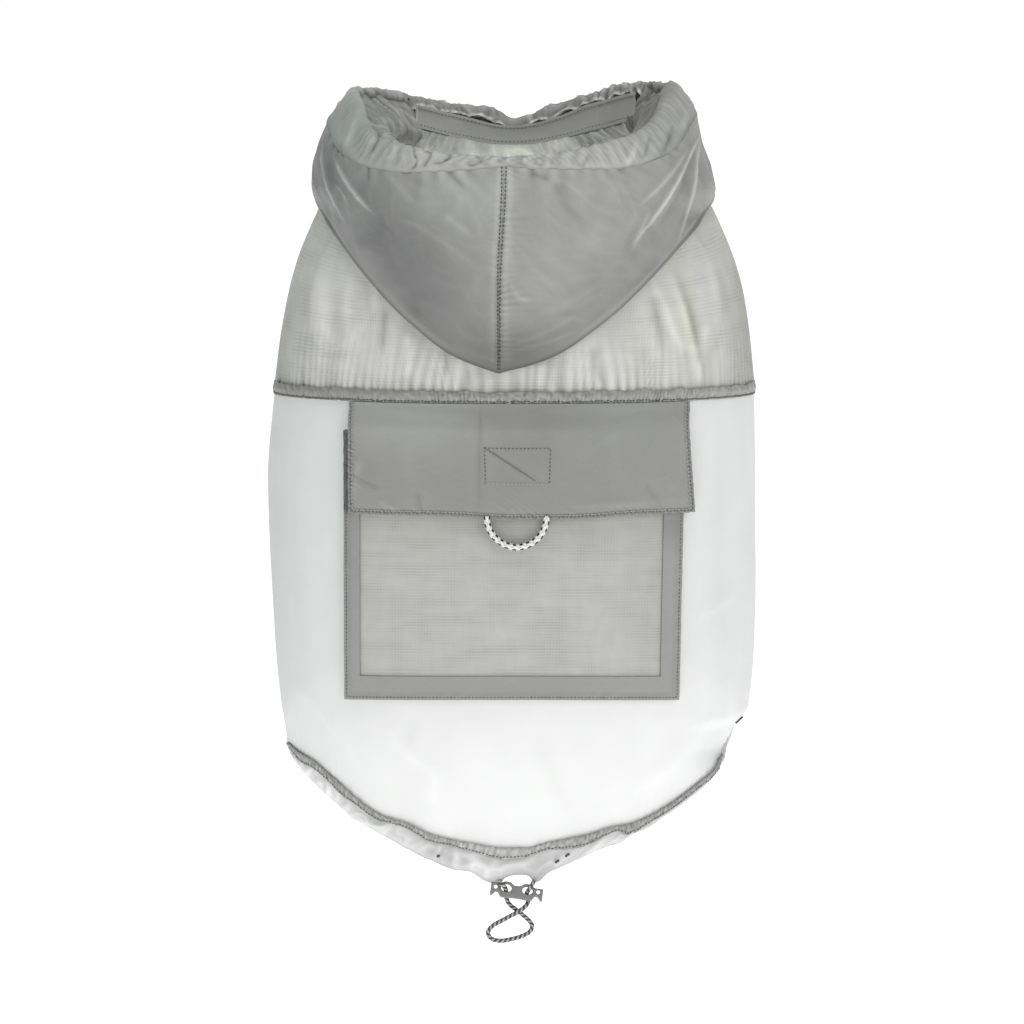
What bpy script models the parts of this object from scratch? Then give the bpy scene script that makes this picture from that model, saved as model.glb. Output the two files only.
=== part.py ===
"""Dog cooling vest with a folded hood, a back pocket and a corded hem.

The vest is shown filled out, as it hangs on a general torso, with its neck up.
+Z points out of the neck opening, the back of the garment faces -Y, and the
origin is at the middle of the neck opening. Units are metres and degrees.
"""

import math
from collections import namedtuple

import bmesh
import bpy
from mathutils import Vector

# Cloth and seams
CLOTH = 0.0012            # wall of one layer
SEAM_GAP = 0.0003         # air between neighbouring pieces
SEAM_TURN = math.degrees(SEAM_GAP / 2 / 0.085)       # half that air as an angle of the body
HOOD_SEAM_TURN = math.degrees(SEAM_GAP / 2 / 0.060)  # and of the hood
LAP = 0.0016              # from the middle of one layer to the next one lying on it

# Garment
YOKE_DROP = 0.112         # neck edge to the yoke seam
HEM_SIDE = 0.279          # neck edge to the hem at the side seams
HEM_SLANT = 0.002         # the left end of the hem hangs lower by this, the right end higher
HEM_CENTRE = 0.332        # neck edge to the hem at the centre back, but for the dip
HEM_DIP = 0.0062          # the cord draws the centre of the hem down into a small point
HEM_DIP_SPREAD = 8.0
HEM_ROUNDING = 1.8
HEM_LEAN = 3.0            # the hem curve is turned a little to the left
BELLY_HEM_SIDE = 0.268
BELLY_HEM_CENTRE = 0.240
BELLY_HEM_HEIGHT = 0.008
BELLY_HEM_WALL = 0.0018
SQUARENESS = 0.87         # 1 is an ellipse, less is boxier

# drop below the neck edge, half width, depth of the back and of the front, and its middle
Section = namedtuple("Section", "drop half_width back front middle")
BODY = (
    Section(0.000, 0.0620, 0.0440, 0.0480, 0.0000),
    Section(0.012, 0.0750, 0.0510, 0.0560, 0.0003),
    Section(0.025, 0.0860, 0.0575, 0.0620, 0.0006),
    Section(0.040, 0.0953, 0.0620, 0.0660, 0.0018),
    Section(0.058, 0.1042, 0.0655, 0.0690, 0.0018),
    Section(0.080, 0.1103, 0.0680, 0.0710, 0.0017),
    Section(0.112, 0.1141, 0.0695, 0.0720, 0.0011),
    Section(0.155, 0.1164, 0.0700, 0.0720, -0.0002),
    Section(0.213, 0.1155, 0.0685, 0.0705, 0.0010),
    Section(0.252, 0.1133, 0.0660, 0.0680, 0.0016),
    Section(0.281, 0.1085, 0.0635, 0.0660, 0.0010),
    Section(0.345, 0.0980, 0.0575, 0.0600, 0.0000),
)

# The neck edge is low at the nape, high at the sides and low again at the throat.
NECK_LEVEL = 0.0075
NECK_TILT = -0.0070
NECK_SADDLE = -0.0085

# The seam from the throat round the leg hole to the side: drop, angle from the centre back
SideSeam = namedtuple("SideSeam", "drop angle")
SIDE_SEAM = (
    SideSeam(0.000, 154.0),
    SideSeam(0.030, 147.0),
    SideSeam(0.070, 130.0),
    SideSeam(0.112, 105.0),
    SideSeam(0.140, 93.0),
    SideSeam(0.165, 90.0),
    SideSeam(0.350, 90.0),
)

# Soft folds of the filled cloth: where, how far down they run, half width, height
Fold = namedtuple("Fold", "angle top bottom spread height")
FOLDS = (
    Fold(-62.0, 0.050, 0.118, 9.0, 0.0014),
    Fold(58.0, 0.052, 0.116, 8.0, 0.0018),
    Fold(-74.0, 0.130, 0.262, 8.0, -0.0014),
    Fold(72.0, 0.150, 0.270, 9.0, -0.0012),
    Fold(-150.0, 0.118, 0.232, 9.0, 0.0016),
    Fold(166.0, 0.126, 0.226, 8.0, -0.0014),
    Fold(128.0, 0.140, 0.244, 9.0, 0.0015),
    Fold(-112.0, 0.150, 0.250, 8.0, -0.0013),
)

# Hood laid back over the shoulders: angle from its centre seam, drop of its lower fold,
# height of the casing's seam and of the casing's top
HoodSection = namedtuple("HoodSection", "angle fold_drop rim_height top_height")
HOOD = (
    HoodSection(0.0, 0.0980, -0.0028, 0.0000),
    HoodSection(10.0, 0.0890, -0.0040, 0.0014),
    HoodSection(20.0, 0.0750, -0.0046, 0.0030),
    HoodSection(35.0, 0.0560, -0.0044, 0.0068),
    HoodSection(50.0, 0.0440, -0.0010, 0.0104),
    HoodSection(65.0, 0.0388, 0.0055, 0.0170),
    HoodSection(78.0, 0.0362, 0.0150, 0.0290),
    HoodSection(92.0, 0.0340, 0.0180, 0.0340),
    HoodSection(136.0, 0.0190, 0.0160, 0.0308),
    HoodSection(152.0, 0.0130, 0.0140, 0.0277),
    HoodSection(165.0, 0.0090, 0.0118, 0.0242),
    HoodSection(176.0, 0.0065, 0.0090, 0.0208),
    HoodSection(180.0, 0.0060, 0.0075, 0.0165),
)
HOOD_TURN = -2.2          # the centre seam stands this far to the left
HOOD_BULGE = Section(0, 0.0952, 0.0980, 0.0590, 0.0000)
HOOD_RIM = Section(0, 0.0878, 0.0840, 0.0575, 0.0004)
HOOD_TOP = Section(0, 0.0748, 0.0790, 0.0530, 0.0004)
HOOD_EDGE = Section(0, 0.0715, 0.0710, 0.0500, 0.0004)
HOOD_BULGE_LEVEL = 0.40   # share of the way down from the rim to the fold
HOOD_LEAN = 0.0015        # the right side stands higher than the left by twice this
HOOD_ROLL = 0.0050        # the casing's inner edge is below its top by this
HOOD_FOLD_RADIUS = 0.0016
HOOD_INNER_LIFT = 0.0026
HOOD_INNER_SLACK = 0.030  # how far the inner layer bellies out, per metre of its drop
HOOD_START = 0.0010
HOOD_CASING_WALL = 0.0018
NECK_BAND_HEIGHT = 0.0085
NECK_BAND_RIGHT = 112.0   # the band runs from here round the throat
NECK_BAND_LEFT = 233.0
NECK_BAND_SEAT = 0.0012    # it starts this far above the neck edge

# Yoke seam band and pocket, measured across from the centre back and down from the neck
BAND_TOP = 0.1053
BAND_BOTTOM = 0.1120
POCKET_LEFT = -0.0785
POCKET_RIGHT = 0.0797
POCKET_TOP = 0.1260
POCKET_BOTTOM = 0.2525
POCKET_LEVEL = LAP + SEAM_GAP   # the bag lies this far off the back, and its border one lap more
BAG_INSET = 0.0008              # the bag's edges end this far inside the border's
BORDER_LEFT = 0.0074
BORDER_RIGHT = 0.0092
BORDER_BOTTOM = 0.0112
FLAP_LEFT = -0.0752
FLAP_RIGHT_TOP = 0.0820
FLAP_RIGHT_BOTTOM = 0.0856
FLAP_TOP = 0.1128
FLAP_BOTTOM = 0.1640

# Back hem
HEM_CASING_HEIGHT = 0.0065
HEM_CASING_WALL = 0.0030
HEM_DIP_SHARE = 0.45      # part of the dip that the casing takes up
HEM_BAND_HEIGHT = 0.0055
ARCH_CENTRE = 0.0023
ARCH_RADIUS = 0.0080
ARCH_RISE = 0.0038
ARCH_DEPTH = -0.058       # where the casing stands at the centre back

# Leg holes, each on the side seam
LEG_ANGLE = 130.0
LEG_DROP = 0.070
LEG_HALF_ANGLE = 17.0
LEG_HALF_HEIGHT = 0.031
LEG_BINDING = 0.0032      # width of the binding, seen flat
LEG_BINDING_SEAT = 0.0005 # it starts this far inside the hole's edge
LEG_BINDING_WALL = 0.0022
LEG_PLUG = 0.008          # how far the hole's plug reaches to each side of the cloth

# Cords and toggle
LOOP_CORD = 0.0036
HEM_CORD = 0.0024
TOGGLE_AT = Vector((0.0022, -0.0586, -0.3442))
TOGGLE_WALL = 0.0020
TOGGLE_HALF_LENGTH = 0.0124
TOGGLE_LEAN = 26.0        # its top leans to the garment
TOGGLE_ROLL = 7.6

GREY = (0.30, 0.30, 0.30, 1)
RIPSTOP = (0.47, 0.48, 0.45, 1)
WHITE = (0.82, 0.83, 0.83, 1)
PLASTIC = (0.33, 0.33, 0.33, 1)


# ---------------------------------------------------------------- form

def lookup(table, key, column):
    """Smooth value of one column at a key, by cubic steps between the rows."""
    keys = [row[0] for row in table]
    values = [getattr(row, column) for row in table]
    if key <= keys[0]:
        return values[0]
    if key >= keys[-1]:
        return values[-1]
    i = max(n for n in range(len(keys) - 1) if keys[n] <= key)

    def slope(n):
        if n in (0, len(keys) - 1):
            return 0.0 if n else (values[1] - values[0]) / (keys[1] - keys[0])
        before = (values[n] - values[n - 1]) / (keys[n] - keys[n - 1])
        after = (values[n + 1] - values[n]) / (keys[n + 1] - keys[n])
        return 0.5 * (before + after) if before * after > 0 else 0.0

    span = keys[i + 1] - keys[i]
    t = (key - keys[i]) / span
    return ((2 * t ** 3 - 3 * t ** 2 + 1) * values[i] + (t ** 3 - 2 * t ** 2 + t) * span * slope(i)
            + (3 * t ** 2 - 2 * t ** 3) * values[i + 1] + (t ** 3 - t ** 2) * span * slope(i + 1))


def smooth(t):
    """0 below 0, 1 above 1 and an even rise between."""
    t = min(max(t, 0.0), 1.0)
    return t * t * (3 - 2 * t)


def ring(angle, half_width, back, front, middle=0.0):
    """Point of a rounded cross-section; 0 degrees is the centre back, 90 the right side."""
    across, along = math.sin(math.radians(angle)), math.cos(math.radians(angle))
    depth = back if along > 0 else front
    return Vector((middle + half_width * math.copysign(abs(across) ** SQUARENESS, across),
                   -depth * math.copysign(abs(along) ** SQUARENESS, along), 0))


def neck_height(angle):
    """Height of the neck edge above its middle level."""
    turn = math.radians(angle)
    return NECK_LEVEL + NECK_TILT * math.cos(turn) + NECK_SADDLE * math.cos(2 * turn)


def form(angle, drop):
    """Point of the garment's smooth form."""
    point = ring(angle, *(lookup(BODY, drop, name) for name in Section._fields[1:]))
    point.z = -drop + neck_height(angle) * (1 - smooth(drop / YOKE_DROP))
    return point


def fold_height(angle, drop):
    """How far the soft folds stand out at a point."""
    total = 0.0
    for fold in FOLDS:
        away = (angle - fold.angle + 180) % 360 - 180
        run = smooth((drop - fold.top) / 0.03) * smooth((fold.bottom - drop) / 0.03)
        total += fold.height * run * math.exp(-(away / fold.spread) ** 2)
    return total


def body_point(angle, drop, lift=0.0):
    """Point of the cloth, lifted outwards from it by lift."""
    step_angle, step_drop = 0.5, 0.0005
    along = form(angle + step_angle, drop) - form(angle - step_angle, drop)
    down = form(angle, max(drop, 0) + step_drop) - form(angle, max(drop, 0) - step_drop)
    outward = down.cross(along).normalized()
    return form(angle, drop) + outward * (lift + fold_height(angle, drop))


def angle_across(across, drop):
    """Angle on the back at a distance across from the centre line."""
    across -= lookup(BODY, drop, "middle")
    share = min(abs(across) / lookup(BODY, drop, "half_width"), 1.0)
    return math.copysign(math.degrees(math.asin(share ** (1 / SQUARENESS))), across)


def back_point(across, drop, lift=0.0):
    """Point of the back cloth at a distance across from the centre line."""
    return body_point(angle_across(across, drop), drop, lift)


def hem_dip(angle):
    """How far the centre of the back hem is drawn down."""
    return HEM_DIP * math.exp(-(angle / HEM_DIP_SPREAD) ** 2)


def hem_drop(angle):
    """Drop of the back hem."""
    share = max(math.cos(math.radians(angle + HEM_LEAN)), 0.0) ** HEM_ROUNDING
    side = HEM_SIDE - HEM_SLANT * math.sin(math.radians(angle))
    return side + (HEM_CENTRE - side) * share + hem_dip(angle)


def casing_top(angle):
    """Drop of the upper edge of the back hem's casing."""
    return hem_drop(angle) - HEM_CASING_HEIGHT * hem_width(angle) - HEM_DIP_SHARE * hem_dip(angle)


def hem_width(angle):
    """The hem pieces grow narrower towards the side seams."""
    return 0.45 + 0.55 * smooth((90 - abs(angle)) / 35)


def belly_hem_drop(angle):
    """Drop of the belly hem."""
    share = abs(math.cos(math.radians(angle))) ** 1.5
    return BELLY_HEM_SIDE + (BELLY_HEM_CENTRE - BELLY_HEM_SIDE) * share


def hood_section(angle):
    """The hood's cut at one angle from its centre seam.

    It runs down over the yoke, round the lower fold, up to the casing's seam and over the
    casing to its inner edge.
    """
    turn = abs(angle)
    angle += HOOD_TURN * smooth((180 - turn) / 90)
    fold_drop = lookup(HOOD, turn, "fold_drop")
    inner_drop = fold_drop - HOOD_FOLD_RADIUS
    inner, fold, outer = [], [], []
    for i in range(13):
        share = i / 12
        slack = HOOD_INNER_SLACK * fold_drop * math.sin(math.pi * share)
        lift = LAP + (HOOD_INNER_LIFT - LAP) * share + slack
        inner.append(body_point(angle, HOOD_START + (inner_drop - HOOD_START) * share, lift))
    for i in range(7):
        turned = math.pi * i / 6
        lift = HOOD_INNER_LIFT + HOOD_FOLD_RADIUS * (1 - math.cos(turned))
        fold.append(body_point(angle, inner_drop + HOOD_FOLD_RADIUS * math.sin(turned), lift))
    rim, top, edge, bulge = (ring(angle, *shape[1:])
                             for shape in (HOOD_RIM, HOOD_TOP, HOOD_EDGE, HOOD_BULGE))
    lean = HOOD_LEAN * math.sin(math.radians(angle))
    rim.z = lookup(HOOD, turn, "rim_height") + lean
    top.z = lookup(HOOD, turn, "top_height") + lean
    edge.z = top.z - HOOD_ROLL
    low = fold[-1]
    bulge.z = rim.z + (low.z - rim.z) * HOOD_BULGE_LEVEL
    for i in range(17):
        t = i / 16
        outer.append(low * (1 - t) ** 2 + bulge * 2 * t * (1 - t) + rim * t * t)
    casing = smooth_route((rim, rim.lerp(top, 0.6) + (rim - edge) * 0.06, top, edge), 13)
    return inner, fold, outer, casing


def path_length(path):
    return sum((b - a).length for a, b in zip(path, path[1:]))


def along_path(path, distance):
    """Point at a distance along a path; a negative distance counts from its end."""
    lengths = [(b - a).length for a, b in zip(path, path[1:])]
    left = distance if distance >= 0 else path_length(path) + distance
    for a, b, length in zip(path, path[1:], lengths):
        if left <= length:
            return a.lerp(b, left / length)
        left -= length
    return path[-1].copy()


def smooth_route(route, count):
    """Evenly spaced points of a smooth curve through the points of a route."""
    points = [Vector(p) for p in route]
    ends = [2 * points[0] - points[1]] + points + [2 * points[-1] - points[-2]]
    fine = []
    for p0, p1, p2, p3 in zip(ends, ends[1:], ends[2:], ends[3:]):
        for i in range(12):
            t = i / 12
            fine.append(0.5 * (2 * p1 + (p2 - p0) * t + (2 * p0 - 5 * p1 + 4 * p2 - p3) * t * t
                               + (3 * p1 - p0 - 3 * p2 + p3) * t ** 3))
    fine.append(points[-1])
    total = path_length(fine)
    return [along_path(fine, total * i / (count - 1)) for i in range(count)]


# ---------------------------------------------------------------- building

def material(name, color, roughness):
    """Principled material of one finish."""
    finish = bpy.data.materials.get(name) or bpy.data.materials.new(name)
    finish.use_nodes = True
    shader = finish.node_tree.nodes["Principled BSDF"]
    shader.inputs["Base Color"].default_value = color
    shader.inputs["Roughness"].default_value = roughness
    shader.inputs["Metallic"].default_value = 0.0
    return finish


def spread(first, last, count):
    """Evenly spaced values, ends included."""
    return [first + (last - first) * i / (count - 1) for i in range(count)]


def cloth(name, finish, columns, rows, place, wall=CLOTH, closed=False, keep=None):
    """A sheet of cloth: a grid laid on the form by place(column, row), with a wall."""
    bm = bmesh.new()
    across, down = len(columns) - 1, len(rows) - 1
    bmesh.ops.create_grid(bm, x_segments=across, y_segments=down, size=1)
    for vertex in bm.verts:
        column = round((vertex.co.x + 1) / 2 * across)
        row = round((1 - vertex.co.y) / 2 * down)
        vertex.co = place(columns[column], rows[row])
    if keep:
        bm.faces.ensure_lookup_table()
        spare = [face for i, face in enumerate(bm.faces)
                 if not keep(i % across, down - 1 - i // across)]
        bmesh.ops.delete(bm, geom=spare, context="FACES")
    if closed:
        bmesh.ops.remove_doubles(bm, verts=bm.verts, dist=0.00005)
    mesh = bpy.data.meshes.new(name)
    bm.to_mesh(mesh)
    bm.free()
    obj = bpy.data.objects.new(name, mesh)
    obj.data.materials.append(finish)
    vest.objects.link(obj)
    shell = obj.modifiers.new("wall", "SOLIDIFY")
    shell.thickness = wall
    shell.offset = 0
    shell.use_even_offset = True
    return obj


def cord(name, finish, route, diameter, count):
    """A round cord through the points of its route."""
    curve = bpy.data.curves.new(name, "CURVE")
    curve.dimensions = "3D"
    curve.bevel_depth = diameter / 2
    curve.bevel_resolution = 2
    curve.use_fill_caps = True
    points = smooth_route(route, count)
    spline = curve.splines.new("POLY")
    spline.points.add(count - 1)
    for target, point in zip(spline.points, points):
        target.co = (*point, 1)
    obj = bpy.data.objects.new(name, curve)
    curve.materials.append(finish)
    vest.objects.link(obj)
    return obj


def cut(obj, cutter):
    """Take a cutter's shape out of a piece."""
    step = obj.modifiers.new("cut", "BOOLEAN")
    step.operation = "DIFFERENCE"
    step.solver = "EXACT"
    step.object = cutter


def as_cutter(obj):
    """Move an object to the cutters, out of the part."""
    cutters.objects.link(obj)
    if obj.name in vest.objects:
        vest.objects.unlink(obj)
    obj.display_type = "WIRE"
    obj.hide_render = True
    return obj


def leg_point(side, turn, reach, lift=0.0):
    """Point round a leg hole; reach is added to the hole's half height and half width."""
    wide = LEG_HALF_ANGLE * (1 + reach / LEG_HALF_HEIGHT)
    angle = LEG_ANGLE + wide * math.cos(turn)
    drop = LEG_DROP + (LEG_HALF_HEIGHT + reach) * math.sin(turn)
    return body_point(side * angle, drop, lift)


def leg_cutter(side):
    """A plug of the leg hole's outline, from inside the cloth to outside."""
    bm = bmesh.new()
    turns = [2 * math.pi * i / 32 for i in range(32)]
    inner = [bm.verts.new(leg_point(side, t, 0, -LEG_PLUG)) for t in turns]
    outer = [bm.verts.new(leg_point(side, t, 0, LEG_PLUG)) for t in turns]
    bmesh.ops.contextual_create(bm, geom=inner)
    bmesh.ops.contextual_create(bm, geom=outer)
    bmesh.ops.bridge_loops(bm, edges=list(bm.edges))
    bmesh.ops.recalc_face_normals(bm, faces=bm.faces)
    mesh = bpy.data.meshes.new("leg_cutter")
    bm.to_mesh(mesh)
    bm.free()
    obj = bpy.data.objects.new("leg_cutter_left" if side < 0 else "leg_cutter_right", mesh)
    return as_cutter(obj)


# ---------------------------------------------------------------- pieces

def side_seam_angle(drop):
    return lookup(SIDE_SEAM, drop, "angle")


def body_panels():
    """Yoke, lower back and the chest and belly panel, with the same rows along the side seams."""
    side_low = casing_top(90) - SEAM_GAP
    belly_low = belly_hem_drop(90) - BELLY_HEM_HEIGHT - SEAM_GAP
    yoke_rows = [0, 0.1, 0.22, 0.36, 0.52, 0.68, 0.84, 1]
    back_rows = spread(0, 1, 12)
    seam = [(YOKE_DROP - SEAM_GAP) * down for down in yoke_rows]
    seam += [YOKE_DROP + (side_low - YOKE_DROP) * down for down in back_rows]
    belly_rows = [drop / belly_low for drop in seam if drop < belly_low - 0.004] + [1]

    def yoke_place(share, down):
        drop = down * (YOKE_DROP - SEAM_GAP)
        return body_point(share * (side_seam_angle(drop) - SEAM_TURN), drop)

    def back_place(share, down):
        drop = YOKE_DROP + (casing_top(share * 90) - SEAM_GAP - YOKE_DROP) * down
        return body_point(share * (side_seam_angle(drop) - SEAM_TURN), drop)

    def belly_place(share, down):
        low = belly_hem_drop(180 + share * 90) - BELLY_HEM_HEIGHT - SEAM_GAP
        drop = down * belly_low + (low - belly_low) * smooth((down - 0.45) / 0.55)
        return body_point(180 + share * (180 - side_seam_angle(drop) - SEAM_TURN), drop)

    yoke = cloth("yoke_back", ripstop, spread(-1, 1, 35), yoke_rows, yoke_place)
    cloth("back_panel", white, spread(-1, 1, 29), back_rows, back_place)
    belly = cloth("chest_belly_panel", white, spread(-1, 1, 21), belly_rows, belly_place)
    for side in (-1, 1):
        plug = leg_cutter(side)
        cut(yoke, plug)
        cut(belly, plug)


def leg_bindings():
    """A rolled binding inside each leg hole."""
    for side, name in ((-1, "leg_binding_left"), (1, "leg_binding_right")):
        def place(turn, step):
            return leg_point(side, turn, -LEG_BINDING_SEAT - LEG_BINDING * step)

        cloth(name, grey, spread(0, 2 * math.pi, 29), spread(0, 1, 2), place,
              wall=LEG_BINDING_WALL, closed=True)


def yoke_band():
    """Gathered strip that covers the yoke seam."""
    def place(share, drop):
        return body_point(share * (side_seam_angle(drop) - SEAM_TURN), drop, LAP)

    cloth("yoke_seam_band", grey, spread(-1, 1, 33), spread(BAND_TOP, BAND_BOTTOM, 3), place)


def pocket():
    """Pocket bag, its border on three sides, and its flap."""
    def bag_place(across, drop):
        return back_point(across, drop, POCKET_LEVEL)

    cloth("pocket_bag", ripstop, spread(POCKET_LEFT + BAG_INSET, POCKET_RIGHT - BAG_INSET, 14),
          spread(POCKET_TOP, POCKET_BOTTOM - BAG_INSET, 7), bag_place)

    columns = [POCKET_LEFT, POCKET_LEFT + BORDER_LEFT]
    columns += spread(POCKET_LEFT + BORDER_LEFT, POCKET_RIGHT - BORDER_RIGHT, 13)[1:-1]
    columns += [POCKET_RIGHT - BORDER_RIGHT, POCKET_RIGHT]
    rows = spread(POCKET_TOP, POCKET_BOTTOM - BORDER_BOTTOM, 7) + [POCKET_BOTTOM]

    def border_place(across, drop):
        return back_point(across, drop, POCKET_LEVEL + LAP)

    def on_border(column, row):
        return column in (0, len(columns) - 2) or row == len(rows) - 2

    cloth("pocket_border", grey, columns, rows, border_place, keep=on_border)

    def flap_place(share, down):
        drop = FLAP_TOP + (FLAP_BOTTOM - FLAP_TOP) * down
        right_edge = FLAP_RIGHT_TOP + (FLAP_RIGHT_BOTTOM - FLAP_RIGHT_TOP) * down
        rise = smooth((drop - FLAP_TOP) / (POCKET_TOP - FLAP_TOP - SEAM_GAP * 3))
        return back_point(FLAP_LEFT + (right_edge - FLAP_LEFT) * share, drop,
                          LAP + (POCKET_LEVEL + LAP) * rise)

    cloth("pocket_flap", grey, spread(0, 1, 15), [0, 0.08, 0.16, 0.24, 0.32, 0.6, 1], flap_place)


def hems():
    """Grey band and cord casing on the back hem, turned hem on the belly."""
    reach = 90 - SEAM_TURN

    def band_place(angle, step):
        tall = HEM_BAND_HEIGHT * hem_width(angle)
        return body_point(angle, casing_top(angle) - SEAM_GAP - tall * (1 - step), LAP)

    def casing_place(angle, step):
        return body_point(angle, casing_top(angle) * (1 - step) + hem_drop(angle) * step)

    def belly_place(angle, step):
        return body_point(angle, belly_hem_drop(angle) - BELLY_HEM_HEIGHT * (1 - step))

    cloth("hem_band_back", grey, spread(-reach, reach, 33), [0, 1], band_place)
    casing = cloth("hem_casing_back", white, spread(-reach, reach, 35), [0, 0.5, 1], casing_place,
                   wall=HEM_CASING_WALL)
    bpy.ops.mesh.primitive_cylinder_add(
        vertices=40, radius=ARCH_RADIUS, depth=0.03, rotation=(math.pi / 2, 0, 0),
        location=(ARCH_CENTRE, ARCH_DEPTH, -HEM_CENTRE - HEM_DIP + ARCH_RISE - ARCH_RADIUS))
    arch = bpy.context.active_object
    arch.name = "arch_cutter"
    for home in list(arch.users_collection):
        home.objects.unlink(arch)
    cut(casing, as_cutter(arch))
    cloth("belly_hem", white, spread(180 - reach, 180 + reach, 27), [0, 1], belly_place,
          wall=BELLY_HEM_WALL)


def hood():
    """Two hood panels, the gathered casing on their edge and the band inside the neck."""
    def panel_place(angle, row):
        part = min(int(row), 2)
        path = hood_section(angle)[part]
        length = path_length(path) - (SEAM_GAP if part == 2 else 0)
        return along_path(path, length * (row - part))

    def casing_place(angle, share):
        path = hood_section(angle)[3]
        return along_path(path, SEAM_GAP + (path_length(path) - SEAM_GAP) * share)

    rows = [0, 0.14, 0.34, 0.58, 0.8, 1, 1.5, 2, 2.14, 2.34, 2.55, 2.78, 3]
    columns = spread(HOOD_SEAM_TURN, 180 - 2 * HOOD_SEAM_TURN, 20)
    for side, name in ((-1, "hood_left"), (1, "hood_right")):
        cloth(name, grey, [side * a for a in columns], rows, panel_place)
    around = [-a for a in columns[:0:-1]] + [0] + columns[1:]
    cloth("hood_casing", grey, around, [0, 0.35, 0.6, 0.8, 1], casing_place,
          wall=HOOD_CASING_WALL)

    def band_place(angle, rise):
        return body_point(angle, -rise, -LAP / 2)

    cloth("neck_band", grey, spread(NECK_BAND_RIGHT, NECK_BAND_LEFT, 25),
          spread(NECK_BAND_SEAT + NECK_BAND_HEIGHT, NECK_BAND_SEAT, 3), band_place)


def toggle_outline(count):
    """Half outline of the cord adjuster, from its left end to its right along the top."""
    top, bottom = [], []
    for i in range(count):
        u = -1 + 2 * i / (count - 1)
        along = u * TOGGLE_HALF_LENGTH
        reach = abs(along)
        crest = 0.0029 + 0.0013 * math.exp(-((reach - 0.0044) / 0.0024) ** 2)
        lobe = 0.0021 + 0.0009 * math.exp(-((reach - 0.0055) / 0.0018) ** 2)
        notch = smooth((reach - 0.0070) / 0.0018)
        hook = smooth((reach - 0.0098) / 0.0020)
        low = lobe * (1 - notch) + 0.0010 * notch * (1 - hook) + 0.0030 * hook
        top.append((along, crest))
        bottom.append((along, -low))
    return top + bottom[::-1]


def toggle():
    """Moulded cord adjuster with two cord holes and two small end holes."""
    curve = bpy.data.curves.new("cord_toggle", "CURVE")
    curve.dimensions = "2D"
    curve.fill_mode = "BOTH"
    curve.extrude = TOGGLE_WALL / 2
    outlines = [toggle_outline(29)]
    for centre, wide, tall in ((-0.0046, 0.0032, 0.0029), (0.0046, 0.0032, 0.0029),
                               (-0.0098, 0.0010, 0.0010), (0.0098, 0.0010, 0.0010)):
        rim = [2 * math.pi * i / 16 for i in range(16)]
        outlines.append([(centre + wide * math.cos(t), 0.0006 + tall * math.sin(t)) for t in rim])
    for outline in outlines:
        spline = curve.splines.new("POLY")
        spline.points.add(len(outline) - 1)
        spline.use_cyclic_u = True
        for target, (x, y) in zip(spline.points, outline):
            target.co = (x, y, 0, 1)
    flat = bpy.data.objects.new("cord_toggle", curve)
    vest.objects.link(flat)
    bpy.context.view_layer.update()
    mesh = bpy.data.meshes.new_from_object(flat.evaluated_get(bpy.context.evaluated_depsgraph_get()))
    bpy.data.objects.remove(flat)
    bm = bmesh.new()
    bm.from_mesh(mesh)
    bmesh.ops.remove_doubles(bm, verts=bm.verts, dist=0.000001)
    bmesh.ops.recalc_face_normals(bm, faces=bm.faces)
    bm.to_mesh(mesh)
    bm.free()
    mesh.materials.clear()
    mesh.materials.append(plastic)
    obj = bpy.data.objects.new("cord_toggle", mesh)
    obj.location = TOGGLE_AT
    obj.rotation_euler = (math.radians(90 - TOGGLE_LEAN), math.radians(TOGGLE_ROLL), 0)
    vest.objects.link(obj)


# Route of the hem cord in millimetres from the middle of the toggle: across, depth, height
HEM_ROUTE = (
    (-8.4, -0.8, 5.2), (-7.5, -1.6, 4.3), (-6.2, -1.4, 3.2), (-5.2, 0.2, 1.2), (-5.0, 1.7, -1.0),
    (-4.9, 2.1, -3.4), (-3.2, 2.0, -6.6), (0.6, 1.5, -9.6), (5.2, 1.4, -13.5), (7.3, 1.2, -16.6),
    (5.8, 1.0, -19.7), (1.5, 0.8, -21.8), (-2.7, 0.6, -22.9), (-7.6, 0.4, -23.6),
    (-11.8, 0.2, -22.6), (-13.5, 0.0, -19.6), (-11.2, -0.4, -16.2), (-5.4, -1.0, -12.8),
    (0.6, -1.5, -9.4), (4.2, -0.2, -6.9), (5.5, 1.8, -4.8), (4.8, 1.7, -2.4), (5.0, 0.2, -0.2),
    (6.1, -1.3, 1.6), (7.1, -1.5, 3.2), (8.2, -0.8, 5.3),
)

# Route of the flap's cord loop: across, drop below the flap in millimetres
LOOP_ROUTE = (
    (-12.4, 0.4), (-12.1, 4.5), (-9.6, 9.4), (-4.6, 13.4), (1.6, 15.0),
    (8.2, 13.2), (13.0, 9.2), (15.2, 4.4), (15.6, 0.4),
)


def cords():
    """Elastic cord of the hem and braided loop of the flap."""
    flap_level = LAP + POCKET_LEVEL + LAP
    loop = [back_point(x / 1000, FLAP_BOTTOM + down / 1000, flap_level) for x, down in LOOP_ROUTE]
    cord("flap_loop", braid, loop, LOOP_CORD, 14)
    hem = [TOGGLE_AT + Vector(point) / 1000 for point in HEM_ROUTE]
    cord("hem_cord", elastic, hem, HEM_CORD, 40)


for old in list(bpy.data.objects):
    bpy.data.objects.remove(old)
vest = bpy.data.collections.new("dog_cooling_vest")
cutters = bpy.data.collections.new("cutters")
cutters.hide_render = True
bpy.context.scene.collection.children.link(vest)
bpy.context.scene.collection.children.link(cutters)

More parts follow.
